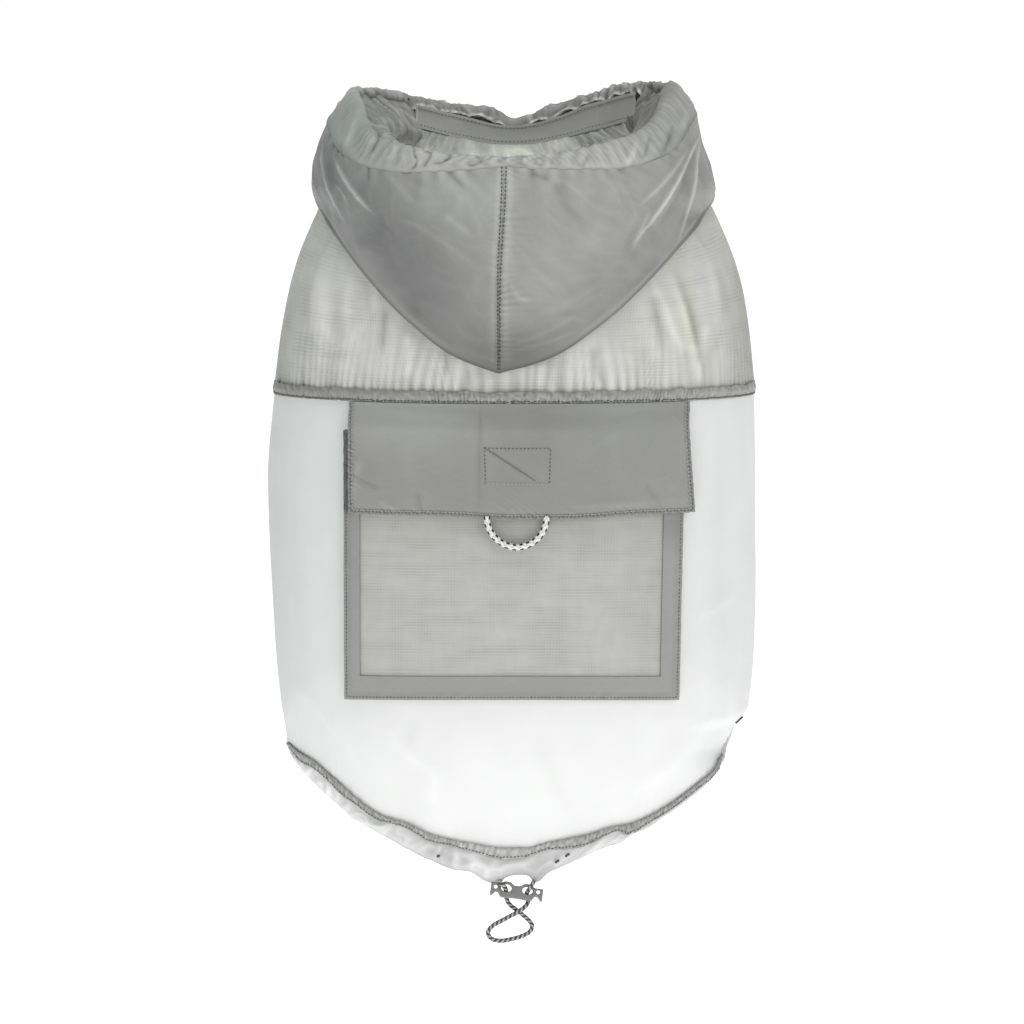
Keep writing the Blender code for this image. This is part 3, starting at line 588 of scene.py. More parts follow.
# hem cord, in millimetres from the middle of the adjuster: across, depth, height
hemRoute = ((-8.4, -0.8, 5.2), (-7.5, -1.6, 4.3), (-6.2, -1.4, 3.2), (-5.2, 0.2, 1.2), (-5.0, 1.7, -1.0),
            (-4.9, 2.1, -3.4), (-3.2, 2.0, -6.6), (0.6, 1.5, -9.6), (5.2, 1.4, -13.5), (7.3, 1.2, -16.6),
            (5.8, 1.0, -19.7), (1.5, 0.8, -21.8), (-2.7, 0.6, -22.9), (-7.6, 0.4, -23.6),
            (-11.8, 0.2, -22.6), (-13.5, 0.0, -19.6), (-11.2, -0.4, -16.2), (-5.4, -1.0, -12.8),
            (0.6, -1.5, -9.4), (4.2, -0.2, -6.9), (5.5, 1.8, -4.8), (4.8, 1.7, -2.4), (5.0, 0.2, -0.2),
            (6.1, -1.3, 1.6), (7.1, -1.5, 3.2), (8.2, -0.8, 5.3))
hemCord = {"diameter": 0.0022, "rings": 760, "around": 28, "pitch": 0.0012, "strands": 4, "relief": 0.16,
           "tracerEvery": 2, "edges": 0.0}
# flap loop: across and below the flap's edge, in millimetres
loopRoute = ((-11.4, 0.4), (-11.1, 4.5), (-8.7, 9.4), (-3.9, 13.4), (2.4, 15.0), (8.8, 13.2), (13.2, 9.2),
             (15.4, 4.4), (15.8, 0.4))
loopCord = {"diameter": 0.0030, "rings": 360, "around": 40, "pitch": 0.0034, "strands": 4, "relief": 0.12,
            "tracerEvery": 4, "edges": 0.52}
flapBottom = 0.1640


def toggleOutline():
    # a crest over each large hole, a straight belly, then a notch and a hook towards each end
    along = np.linspace(-1, 1, toggleSet["outlinePoints"]) * toggleSet["halfLength"]
    reach = np.abs(along)
    base, rise, at, spread = toggleSet["crest"]
    crest = base + rise * bell(reach, at, spread, 4)
    base, rise, at, spread = toggleSet["belly"]
    belly = base + rise * bell(reach, at, spread)
    notch, hook = (ramp(reach, *toggleSet[name][:2]) for name in ("notch", "hook"))
    low = belly * (1 - notch) + toggleSet["notch"][2] * notch * (1 - hook) + toggleSet["hook"][2] * hook
    return list(zip(along, crest)) + list(zip(along, -low))[::-1]


def makeToggle():
    curve = bpy.data.curves.new("cordAdjuster", "CURVE")
    curve.dimensions = "2D"
    curve.fill_mode = "BOTH"
    rounded = toggleSet["round"]
    curve.extrude = toggleSet["wall"] / 2 - rounded
    curve.bevel_depth, curve.bevel_resolution, curve.offset = rounded, toggleSet["roundSteps"], -rounded
    outlines = [toggleOutline()]
    turns = np.linspace(0, 2 * np.pi, toggleSet["holePoints"], endpoint=False)
    for centre, wide, tall in toggleSet["holes"]:
        outlines.append(list(zip(centre + wide * np.cos(turns), toggleSet["holeLevel"] + tall * np.sin(turns))))
    for outline in outlines:
        spline = curve.splines.new("POLY")
        spline.points.add(len(outline) - 1)
        spline.use_cyclic_u = True
        for target, (x, y) in zip(spline.points, outline):
            target.co = (x, y, 0, 1)
    drawn = bpy.data.objects.new("cordAdjusterCurve", curve)
    scene.collection.objects.link(drawn)
    drawn.location = toggleSet["at"]
    drawn.rotation_euler = (math.radians(90 - toggleSet["lean"]), math.radians(toggleSet["roll"]), 0)
    bpy.context.view_layer.update()
    mesh = bpy.data.meshes.new_from_object(drawn.evaluated_get(bpy.context.evaluated_depsgraph_get()))
    mesh.transform(drawn.matrix_world)
    bpy.data.objects.remove(drawn)
    bm = bmesh.new()
    bm.from_mesh(mesh)
    bmesh.ops.remove_doubles(bm, verts=bm.verts, dist=toggleSet["merge"])
    bmesh.ops.recalc_face_normals(bm, faces=bm.faces)
    bm.to_mesh(mesh)
    bm.free()
    mesh.materials.clear()
    mesh.materials.append(toggleNylon)
    mesh.shade_smooth()
    mesh.set_sharp_from_angle(angle=math.radians(toggleSet["sharpAngle"]))
    piece = bpy.data.objects.new("cordAdjuster", mesh)
    scene.collection.objects.link(piece)
    return piece


def place(piece, slotName, node=None):
    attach(piece, "root")
    if node:
        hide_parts(node)


def layCord(name, node, slotName, route, look, finish):
    piece, path, length = cordMesh(name, route, look["diameter"], look, finish)
    place(piece, slotName, node)
    print(name, "is", round(length * 1000, 1), "mm long")


toggle = makeToggle()
place(toggle, "toggle_plastic", "cord_toggle")
layCord("hemCord", "hem_cord", "cord_elastic", np.array(hemRoute) / 1000 + np.array(toggleSet["at"]), hemCord,
        elasticBraid)
loopLift = garment["lap"] * 3 + garment["gap"]
loopPoints = [backPoint(x / 1000, flapBottom + down / 1000, loopLift) for x, down in loopRoute]
layCord("flapLoop", "flap_loop", "braid_white", loopPoints, loopCord, whiteBraid)


def stitchTree():
    # short threads set along seams
    tree = bpy.data.node_groups.new("stitchRows", "GeometryNodeTree")
    for kind, name in (("NodeSocketGeometry", "Seams"), ("NodeSocketFloat", "Pitch"),
                       ("NodeSocketFloat", "Stitch Length"), ("NodeSocketFloat", "Thickness"),
                       ("NodeSocketMaterial", "Thread")):
        tree.interface.new_socket(name, in_out="INPUT", socket_type=kind)
    tree.interface.new_socket("Stitches", in_out="OUTPUT", socket_type="NodeSocketGeometry")
    seams = addNode(tree, "NodeGroupInput").outputs
    spaced = addNode(tree, "GeometryNodeResampleCurve", {"mode": "LENGTH"},
                     {"Curve": seams["Seams"], "Length": seams["Pitch"]}).outputs[0]
    tangent = addNode(tree, "GeometryNodeInputTangent").outputs[0]
    turned = addNode(tree, "FunctionNodeAlignRotationToVector", {"axis": "X"}, {"Vector": tangent}).outputs[0]
    half, thin = (addNode(tree, "ShaderNodeMath", {"operation": "MULTIPLY", 1: 0.5},
                          {0: seams[name]}).outputs[0] for name in ("Stitch Length", "Thickness"))
    size = addNode(tree, "ShaderNodeCombineXYZ", links={0: half, 1: thin, 2: thin}).outputs[0]
    bead = addNode(tree, "GeometryNodeMeshUVSphere", {"Segments": 6, "Rings": 4, "Radius": 1.0}).outputs[0]
    placed = addNode(tree, "GeometryNodeInstanceOnPoints", links={
        "Points": spaced, "Instance": bead, "Rotation": turned, "Scale": size}).outputs[0]
    made = addNode(tree, "GeometryNodeRealizeInstances", links={0: placed}).outputs[0]
    dressed = addNode(tree, "GeometryNodeSetMaterial", links={"Geometry": made, "Material": seams["Thread"]})
    addNode(tree, "NodeGroupOutput", links={0: dressed.outputs[0]})
    return tree


stitchRows = stitchTree()


def sewRows(name, seams, look, thread):
    # one piece for all the seams of a kind
    curve = bpy.data.curves.new(name + "Line", "CURVE")
    curve.dimensions = "3D"
    for seam in seams:
        spline = curve.splines.new("POLY")
        spline.points.add(len(seam) - 1)
        spline.points.foreach_set("co", np.hstack((seam, np.ones((len(seam), 1)))).ravel())
    line = bpy.data.objects.new(name + "Line", curve)
    scene.collection.objects.link(line)
    step = line.modifiers.new("stitches", "NODES")
    step.node_group = stitchRows
    values = {"Pitch": look["pitch"], "Stitch Length": look["length"], "Thickness": look["thickness"],
              "Thread": thread}
    for item in stitchRows.interface.items_tree:
        if item.name in values and item.in_out == "INPUT":
            step[item.identifier] = values[item.name]
    bpy.context.view_layer.update()
    mesh = bpy.data.meshes.new_from_object(line.evaluated_get(bpy.context.evaluated_depsgraph_get()))
    bpy.data.objects.remove(line)
    mesh.name = name
    mesh.shade_smooth()
    piece = bpy.data.objects.new(name, mesh)
    scene.collection.objects.link(piece)
    place(piece, "nylon_grey")


def finishCloth(piece, node, slotName, flat, area=None):
    place(piece, slotName, node)
    print(node, "area", round(areas[piece.name], 4), "flat", round(area or flat[0] * flat[1], 4),
          "triangles", sum(len(face.vertices) - 2 for face in piece.data.polygons))


hem = {"side": 0.279, "slant": 0.002, "centre": 0.332, "dip": 0.0062, "dipSpread": 8.0, "rounding": 1.8,
       "lean": 3.0, "sag": 0.0040, "casingHeight": 0.0065, "dipShare": 0.45, "casingWall": 0.0022,
       "lap": 0.0010, "endLap": 0.0018, "bellySide": 0.268, "bellyCentre": 0.240, "bellyHeight": 0.008,
       "archCentre": 0.0023, "archHalf": 0.0072, "archRise": 0.0036}
legHole = {"angle": 130.0, "drop": 0.070, "halfAngle": 17.0, "halfHeight": 0.031}
clothPerDegree = 0.0019  # metres of cloth in a degree round the body
clothWall = 0.0007  # of the trim; the panels have the garment's own wall


def axesOf(points):
    return tuple(points[..., i] for i in range(3))


def acrossAt(angle, drop):
    return ringPoint(angle, bodyShape["halfWidth"](drop), 0.06, 0.06)[0]


def hemDip(angle):
    return hem["dip"] * bell(angle, 0, hem["dipSpread"])


def hemDrop(angle):
    share = np.maximum(np.cos(np.radians(angle + hem["lean"])), 0.0) ** hem["rounding"]
    side = hem["side"] - hem["slant"] * np.sin(np.radians(angle))
    sag = hem["sag"] * ramp(angle, 12, 64) * ramp(angle, 90, 72)
    return side + (hem["centre"] - side) * share + hemDip(angle) + sag


def casingTop(angle):
    width = 0.45 + 0.55 * ramp(np.abs(angle), 90, 55)
    return hemDrop(angle) - hem["casingHeight"] * width - hem["dipShare"] * hemDip(angle)


# the band's two edges, both uneven: drop in millimetres by the distance across the back
hemEdge = columnsOf("across upper lower", (
    (-106, 280.0, 281.5), (-100, 282.5, 287.0), (-93, 285.0, 289.0), (-86, 290.0, 294.0), (-80, 294.5, 300.0),
    (-72, 301.5, 305.0), (-63, 307.5, 311.0), (-56, 310.0, 312.0), (-47, 312.5, 315.0), (-40, 316.0, 319.5),
    (-29, 319.0, 322.0), (-18, 321.0, 325.0), (-4, 323.0, 328.5), (6, 323.0, 327.5), (16, 320.5, 324.0),
    (28, 318.0, 323.5), (36, 316.5, 321.5), (44, 314.0, 317.0), (49, 313.0, 315.5), (54, 312.5, 317.5),
    (66, 308.0, 311.5), (78, 301.0, 304.5), (85, 296.0, 299.0), (96, 289.5, 292.0), (103, 284.5, 286.5)))


def hemLine(angle):
    # where the casing is sewn on, the band's lower edge, and the band's height
    across = acrossAt(angle, casingTop(angle)) * 1000
    lower = hemEdge["lower"](across)
    return np.minimum(lower / 1000, hemDrop(angle) - hem["lap"]), (lower - hemEdge["upper"](across)) / 1000


def hemSewn(angle):
    # past the band's ends the casing carries on by itself up to the side seams
    past = ramp(np.abs(angle), 68, 78)
    return hemLine(angle)[0] * (1 - past) + (hemDrop(angle) - hem["endLap"]) * past


def bellyHemDrop(angle):
    share = np.abs(np.cos(np.radians(angle))) ** 1.5
    return hem["bellySide"] + (hem["bellyCentre"] - hem["bellySide"]) * share


def cutLegHoles(angle, drop):
    # moves the grid's nearest points onto the hole's edge and says which faces stay
    inside = np.zeros(angle.shape, bool)
    for side in (-1, 1):
        away = (angle - side * legHole["angle"] + 180) % 360 - 180
        u, v = away / legHole["halfAngle"], (drop - legHole["drop"]) / legHole["halfHeight"]
        r = np.maximum(np.hypot(u, v), 1e-6)
        near = (r > 0.95) & (r < 1.05)
        angle = np.where(near, angle - away + away / r, angle)
        drop = np.where(near, legHole["drop"] + v / r * legHole["halfHeight"], drop)
        inside |= r <= 0.95
    return angle, drop, ~(inside[:-1, :-1] | inside[1:, :-1] | inside[1:, 1:] | inside[:-1, 1:])


# In each piece's settings the rows of creases, painted shading and painted highlights are as creaseRelief and
# paintedShadingPatches take them, a row of gathers is height, pitch, reach and seed, and a row of waves is
# height, size along, size down and seed.

# yoke: ripstop over the shoulders, softly folded from under the hood and gathered into the seam
yokeLook = {
    "grid": ((-1, 1, 300), (0, 1, 110)), "seamGathers": (0.0007, 0.0046, 0.020, 11),
    "throatGathers": (0.0004, 0.0080, 0.016, 12), "waves": (0.0004, 0.011, 0.030, 13), "rumple": 0.0018,
    "creases": (
        (-58.8, -68, -60.7, -90, 0, 2.2, -0.9, 1.4), (-74.7, -50, -77.1, -80, 1, 3.0, 0.7, 1.5),
        (-68, -50, -65.3, -76, 0, 2.6, -0.6, 1.5), (-30.3, -86, -29.7, -100, 0, 1.6, -0.7, 1.4),
        (74.5, -46, 90.3, -106, -2, 2.6, -1.2, 1.3), (71.0, -48, 86, -100, -2, 2.6, 1.0, 1.4),
        (66.5, -62, 70.3, -92, 0, 2.2, -0.7, 1.4), (90.3, -78, 87.4, -106, 1, 2.8, 0.8, 1.5),
        (65.1, -56, 79, -92, -1, 2.4, 0.7, 1.4), (-88, -44, -84, -90, 3, 5.0, 0.8, 1.8),
        (-20, -96, -19, -106, 0, 1.5, -0.6, 1.4), (14, -94, 13, -106, 0, 1.6, 0.6, 1.5),
        (38, -86, 42, -104, 1, 2.0, -0.6, 1.4), (-48, -80, -50, -102, -1, 2.2, 0.7, 1.5)),
    "paintedShading": ((82, -72, 5, 26, 14, (0.88, 0.88, 0.80)), (-110, -80, 14, 60, 0, (0.74, 0.75, 0.75)),
              (112, -80, 10, 60, 0, (0.72, 0.72, 0.70)), (-85, -42, 16, 12, 0, (0.93, 0.96, 0.97)),
              (0, -95, 60, 16, 0, (1.08, 1.08, 1.09)), (72, -92, 16, 22, 10, (1.08, 1.08, 1.05)))}

share, down = grid(*yokeLook["grid"])
drop = down * (garment["yokeDrop"] - garment["gap"])
angle, drop, whole = cutLegHoles(share * sideSeamAngle(drop), drop)
points = bodyPoint(angle, drop)
x, y, z = axesOf(points)
reach = angle * clothPerDegree
onBack, openBelow, onChest = ramp(y, 0.006, -0.006), ramp(drop, 0.045, 0.075), ramp(np.abs(angle), 100, 120)
throat = bell(drop, 0, 0.018) * onChest
rumples = crinkles(reach + 0.5 * drop, drop, 0.0085, 14)
overSeam = garment["yokeDrop"] - 0.006 - drop
relief = (creaseRelief(x, z, yokeLook["creases"]) * onBack * openBelow
          + gathered(yokeLook["seamGathers"], reach, overSeam) * ramp(drop, 0.06, 0.09)
          + gathered(yokeLook["throatGathers"], reach + 0.4 * drop, drop) * onChest
          + yokeLook["rumple"] * rumples * throat + rolling(yokeLook["waves"], reach, drop) * openBelow)
# painted shading: darker at the yoke's sides where it rounds away, lighter in the middle, and a little darker
# off the back
tint = paintedShadingPatches(x, z, yokeLook["paintedShading"]) * np.where(onBack > 0.5, 1.0, 0.97)[..., None]
# painted highlights on the throat's crinkle crests and painted shade over its right side
tint = tint * (1 + throat * (0.40 * rumples - 0.22 * ramp(angle, 0, 40)))[..., None]
# the inner face is painted lighter where it lies in shade, and the crests and valleys carry painted shade and
# highlight
yoke = clothShell("yoke", points, garment["wall"], ripstop, keep=whole, relief=relief, tint=tint, crests=0.45,
                  inside=1.5)
finishCloth(yoke, "yoke_back", "ripstop_grey", (0.42, 0.115))

# lower back: white, one layer, creased by the pull of the pocket and the hem
backLook = {
    "grid": ((-1, 1, 220), (0, 1, 150)), "gathers": (0.0005, 0.0048, 0.010, 21),
    "waves": (0.0003, 0.016, 0.034, 22), "hemGap": 0.0006, "pressed": 0.0002,
    "creases": (
        (-111.6, -150, -102, -247, -3, 7.0, -1.0, 1.8), (-96, -125, -94, -240, 1, 6.0, 0.6, 1.8),
        (-56.8, -268, -37.1, -286, 2, 4.0, 0.6, 1.6), (-37.1, -284, -39.5, -304, -2, 3.5, 0.5, 1.6),
        (-42.6, -256, -50.2, -278, 1, 4.0, -0.5, 1.7), (98, -130, 101, -230, 2, 6.0, -0.7, 1.8),
        (108, -180, 104, -262, -2, 5.0, 0.8, 1.7), (-104, -250, -70, -290, -3, 5.0, 0.7, 1.7),
        (60, -296, 96, -262, 3, 5.0, 0.7, 1.7), (12, -262, 30, -312, 2, 5.0, -0.4, 1.8),
        (-86, -172, -80, -196, 0, 3.0, 0.5, 1.6), (88, -214, 106, -206, 1, 3.0, 0.4, 1.6)),
    "paintedShading": ((-98, -150, 26, 120, 0, (0.90, 0.925, 0.925)), (-114, -190, 8, 110, 0, (0.88, 0.89, 0.89)),
              (100, -160, 20, 110, 0, (0.955, 0.96, 0.96)), (0, -308, 140, 52, 0, 1.12))}

share, down = grid(*backLook["grid"])
drop = garment["yokeDrop"] + (hemSewn(share * 90) - backLook["hemGap"] - garment["yokeDrop"]) * down
angle = share * sideSeamAngle(drop)
points = bodyPoint(angle, drop)
x, y, z = axesOf(points)
reach = angle * clothPerDegree
# under the pocket the cloth lies flat
clear = np.maximum(ramp(np.abs(x - 0.001), 0.081, 0.091), ramp(drop, 0.256, 0.268))
relief = clear * (creaseRelief(x, z, backLook["creases"]) + rolling(backLook["waves"], reach, drop)
                  + gathered(backLook["gathers"], reach, hemSewn(angle) - drop))
relief -= backLook["pressed"] * (1 - clear)
# painted shading: darker at both sides where the back rounds away, lighter towards the hem, and painted shade
# and highlight on its crests
back = clothShell("lowerBack", points, garment["wall"], frosted, relief=relief, crests=0.1,
                  tint=paintedShadingPatches(x, z, backLook["paintedShading"]))
finishCloth(back, "back_panel", "cloth_white", (0.31, 0.20))

# chest and belly: one white panel from the throat to the belly hem
bellyLook = {
    "grid": ((-1, 1, 190), (0, 1, 140)), "throatGathers": (0.0004, 0.0070, 0.020, 31),
    "hemGathers": (0.0005, 0.0060, 0.012, 32), "waves": (0.0004, 0.015, 0.030, 33), "rumple": 0.0018,
    "creases": (
        (-66, -118, -58, -176, 3, 5.0, 1.0, 1.7), (60, -124, 66, -190, -3, 5.0, 0.9, 1.7),
        (-30, -46, -44, -92, 2, 4.0, 0.8, 1.6), (28, -50, 40, -88, -2, 4.0, 0.8, 1.6),
        (6, -60, 2, -120, 3, 5.0, -0.7, 1.7), (-12, -150, 8, -214, -4, 6.0, -0.8, 1.8),
        (40, -196, 74, -226, 2, 5.0, 0.7, 1.7), (-80, -206, -46, -230, -3, 5.0, 0.8, 1.7),
        (-90, -130, -88, -200, 2, 5.0, 0.7, 1.7), (88, -140, 92, -206, -2, 5.0, -0.7, 1.7)),
    "paintedShading": ((4, 2, 26, 16, 0, (1.34, 1.35, 1.25)), (44, 6, 14, 16, 0, 0.86))}

share, down = grid(*bellyLook["grid"])
drop = down * (bellyHemDrop(180 + share * 90) - hem["bellyHeight"])
angle, drop, whole = cutLegHoles(180 + share * (180 - sideSeamAngle(drop)), drop)
points = bodyPoint(angle, drop)
x, y, z = axesOf(points)
reach = (angle - 180) * clothPerDegree
throat = bell(drop, 0, 0.016)
rumples = crinkles(reach + 0.4 * drop, drop, 0.0080, 34)
relief = (creaseRelief(x, z, bellyLook["creases"]) + gathered(bellyLook["throatGathers"], reach, drop)
          + gathered(bellyLook["hemGathers"], reach, bellyHemDrop(angle) - hem["bellyHeight"] - drop)
          + bellyLook["rumple"] * rumples * throat + rolling(bellyLook["waves"], reach, drop))
# painted light on the throat's middle, which lies in shade, painted shade beside it on the right, and painted
# highlights on its crinkle crests; the inner face is painted a little lighter
tint = paintedShadingPatches(x, z, bellyLook["paintedShading"]) * (1 + 0.40 * rumples * throat)[..., None]
belly = clothShell("chestAndBelly", points, garment["wall"], frosted, keep=whole, relief=relief, tint=tint,
                   crests=0.15, inside=1.05)
finishCloth(belly, "chest_belly_panel", "cloth_white", (0.26, 0.26))
print("body panels made")

# leg hole bindings, folded over the edge of the cloth
legBinding = {"wide": 0.0042, "thick": 0.0013, "offEdge": 0.0012, "fold": 0.93 * np.pi, "turns": 150,
              "around": 14, "cloth": 0.0006}


def legPoint(side, turn, reach, lift):
    wide = legHole["halfAngle"] * (1 + reach / legHole["halfHeight"])
    angle = legHole["angle"] + wide * np.cos(turn)
    drop = legHole["drop"] + (legHole["halfHeight"] + reach) * np.sin(turn)
    return bodyPoint(side * angle, drop, lift)


for side, name, node in ((-1, "legBindingLeft", "leg_binding_left"),
                         (1, "legBindingRight", "leg_binding_right")):
    turn, step = np.meshgrid(np.linspace(0, 2 * np.pi, legBinding["turns"], endpoint=False),
                             np.linspace(-legBinding["fold"], legBinding["fold"], legBinding["around"]))
    pucker = gathers(turn * 0.028, 0, 0.0046, 0.01, 41)
    wide = legBinding["wide"] / 2 * np.cos(step) * (1 + 0.08 * pucker)
    points = legPoint(side, turn, -legBinding["offEdge"] - wide,
                      legBinding["thick"] * np.sin(step) * (1 + 0.25 * pucker))
    piece = clothShell(name, points, legBinding["cloth"], taffeta, outward=side, closed=True, tint=0.97)
    finishCloth(piece, node, "nylon_grey", (0.17, 0.010))
print("bindings made")

# yoke seam band: a narrow strip, drawn up in fine gathers that are densest behind the shoulders
bandLook = {"grid": ((-1, 1, 520), (0, 1, 16)), "halfLength": 0.2, "top": 0.1068, "bottom": 0.1124,
            "lift": 0.0004, "puff": 0.0012, "gatherHeight": 0.00055,
            "waves": ((0.0009, 0.009, 1, 51), (0.0006, 0.0032, 1, 52)), "scallops": (0.0005, 0.0019, 0.02, 54),
            "grain": (0.00022, 0.0010, 0.25, 57),
            "paintedShading": ((-112, -112, 50, 40, 0, (0.84, 0.84, 0.83)), (112, -112, 40, 40, 0, 1.10))}

share, down = grid(*bandLook["grid"])
reach = share * bandLook["halfLength"]
wave = sum(rolling(row, reach, 0.5) for row in bandLook["waves"])
low = bandLook["bottom"] + gathered(bandLook["scallops"], reach, 0)
drop = bandLook["top"] + wave * (1 - down) + (low - bandLook["top"]) * down
points = bodyPoint(share * sideSeamAngle(drop), drop,
                   bandLook["lift"] + bandLook["puff"] * ramp(np.abs(share), 0.88, 0.68))
x, y, z = axesOf(points)
dense = bell(reach, -0.007, 0.032, 4) + bell(reach, 0.066, 0.02, 4) + 0.35
dense = dense * (0.8 + 0.3 * softNoise(reach / 0.012, 0.2, 53))
pushed = reach + 0.0006 * softNoise(reach / 0.002, down * 3, 56)
relief = (bandLook["gatherHeight"] * dense * gathers(pushed, (0.8 - down) * 0.004, 0.0015, 0.02, 54)
          + rolling(bandLook["grain"], reach, down)
          + 0.0004 * (1 - np.abs(down - 0.45) * 2) - 0.0003 * bell(down, 0.86, 0.07))
# painted shading: darker on the left side and lighter on the right, with painted shade and highlight on its
# gathers; it is also darker along its top edge and its tone varies at random
shade = 0.80 + 0.12 * softNoise(reach / 0.0014, down * 3, 55) - 0.08 * bell(down, 0, 0.2)
band = clothShell("yokeSeamBand", points, clothWall, taffeta, relief=relief, crests=0.8, crestReach=3,
                  tint=paintedShadingPatches(x, z, bandLook["paintedShading"]) * shade[..., None])
finishCloth(band, "yoke_seam_band", "nylon_grey", (0.42, 0.010),
            area=0.0030)

# pocket: a ripstop bag on the back, bound on three edges, under a flap
pocket = {"left": -0.0785, "right": 0.0797, "half": 0.079, "top": 0.1260, "bottom": 0.2525, "inset": 0.0008,
          "borderLeft": 0.0074, "borderRight": 0.0092, "borderBottom": 0.0112, "borderLift": 0.0009,
          "flapLeft": -0.0752, "flapRightTop": 0.0820, "flapRightBottom": 0.0856, "flapTop": 0.1128,
          "level": garment["lap"] + garment["gap"], "step": 0.0011, "waves": (0.00012, 0.016, 0.012, 61),
          "creases": ((-60, -176, -56, -236, 1, 5, 0.35, 1.8), (12, -170, 16, -238, -1, 7, -0.3, 1.8),
                      (52, -168, 50, -232, 1, 5, 0.35, 1.8), (-30, -170, -28, -205, 0, 5, 0.25, 1.8)),
          "bagPaintedShading": ((0, -168, 70, 16, 0, (0.86, 0.86, 0.85)), (70, -190, 16, 60, 0, (0.93, 0.93, 0.92)),
                       (-40, -180, 20, 24, 0, (1.03, 1.03, 1.02))),
          "borderPaintedShading": ((0, -247, 60, 8, 0, 0.96), (70, -170, 20, 10, 0, 0.80), (-77, -180, 12, 24, 0, 0.90))}


def pocketPlace(across, drop, lift):
    # it narrows a little downwards, and its lower edge bows down in the middle
    down = np.clip((drop - pocket["top"]) / (pocket["bottom"] - pocket["top"]), 0, 1)
    out = across / pocket["half"]
    narrow = np.where(across > 0, 0.0021 * down + 0.0002, -0.0012 * (1 - 0.2 * down)) * np.abs(out)
    return backPoint(across - narrow, drop - (0.0013 - 0.0019 * out ** 2) * down, lift)


def pocketLift(across, drop):
    return (pocket["level"] + creaseRelief(across, -drop, pocket["creases"])
            + rolling(pocket["waves"], across, drop))


def marks(first, last, edges, step):
    # even columns or rows that fall on given edges
    stops = [first, *edges, last]
    values = [np.linspace(a, b, max(2, round((b - a) / step) + 1))[:-1] for a, b in zip(stops, stops[1:])]
    return np.concatenate(values + [[last]])


across, drop = grid((pocket["left"] + pocket["inset"], pocket["right"] - pocket["inset"], 130),
                    (pocket["top"], pocket["bottom"] - pocket["inset"], 96))
# painted shading: a shadow under the flap, darker at the right and lighter at the left
bag = clothShell("pocketBag", pocketPlace(across, drop, pocketLift(across, drop)), clothWall, ripstop,
                 tint=paintedShadingPatches(across, -drop, pocket["bagPaintedShading"]) * 0.92)
finishCloth(bag, "pocket_bag", "ripstop_grey", (0.16, 0.13))

innerLeft, innerRight = pocket["left"] + pocket["borderLeft"], pocket["right"] - pocket["borderRight"]
innerLow = pocket["bottom"] - pocket["borderBottom"]
columns = marks(pocket["left"], pocket["right"], (innerLeft, innerRight), pocket["step"])
rows = marks(pocket["top"], pocket["bottom"], (innerLow,), pocket["step"])
across, drop = np.meshgrid(columns, rows)
middle, level = (columns[1:] + columns[:-1]) / 2, (rows[1:] + rows[:-1]) / 2
onBorder = ((middle < innerLeft) | (middle > innerRight))[None, :] | (level > innerLow)[:, None]
edge = np.minimum(np.minimum(across - pocket["left"], pocket["right"] - across), pocket["bottom"] - drop)
relief = 0.00025 * gathers(across + drop, edge, 0.006, 0.004, 62) - 0.0003 * ramp(edge, 0.0014, 0)
shade = 0.92 + 0.10 * ramp(edge, 0.0030, 0.0046)
# beside the flap its left edge lies in shade
beside = ramp(across, -0.0738, -0.0750) * ramp(drop, 0.1665, 0.1625)
shade = shade * (1 - 0.76 * beside * (0.8 + 0.4 * softNoise(across / 0.001, drop / 0.0018, 65)))
# painted shading: a shadow under the flap's right corner, a little darker along the bottom and at the left, and
# painted shade and highlight on its crinkles
border = clothShell("pocketBorder", pocketPlace(across, drop, pocketLift(across, drop) + pocket["borderLift"]),
                    clothWall, taffeta, keep=onBorder, relief=relief, crests=0.3,
                    tint=paintedShadingPatches(across, -drop, pocket["borderPaintedShading"]) * shade[..., None] * 0.87)
finishCloth(border, "pocket_border", "nylon_grey", (0.40, 0.010), area=0.0036)

flapLook = {
    "grid": ((0, 1, 190), (0, 1, 74)), "width": 0.16, "height": 0.051, "step": 0.0123,
    "gathers": (0.00040, 0.0034, 0.0035, 63), "waves": (0.00018, 0.013, 0.013, 64),
    "creases": (
        (-14.8, -113, -15.6, -162, 0, 1.0, -0.35, 1.3), (-75, -146, -60, -152, 0.5, 1.4, -0.35, 1.4),
        (-62, -158, -52, -163, 0, 1.2, 0.4, 1.4), (-44, -153, -42, -163, 0, 1.2, -0.4, 1.4),
        (-70, -138, -74, -160, 1, 2.0, 0.4, 1.6), (30, -160, 78, -158, 0.5, 2.0, 0.3, 1.6),
        (62, -150, 70, -162, 0, 1.6, -0.3, 1.5), (-60, -116, -20, -119, 1, 3.0, 0.25, 1.7),
        (10, -117, 60, -116, -1, 3.0, 0.25, 1.7), (-11, -133, 9, -146.5, 0, 0.6, -0.35, 1.3),
        (-50, -130, -44, -150, 1, 5.0, 0.3, 1.8), (44, -124, 50, -152, -1, 6.0, 0.3, 1.8)),
    "paintedShading": ((-15, -138, 2.5, 30, 0, (0.95, 0.95, 0.96)), (-50, -120, 34, 16, 0, (1.24, 1.25, 1.24)),
              (50, -120, 30, 16, 0, (1.02, 1.03, 1.01)), (6, -142, 24, 22, 0, (0.93, 0.93, 0.935)))}


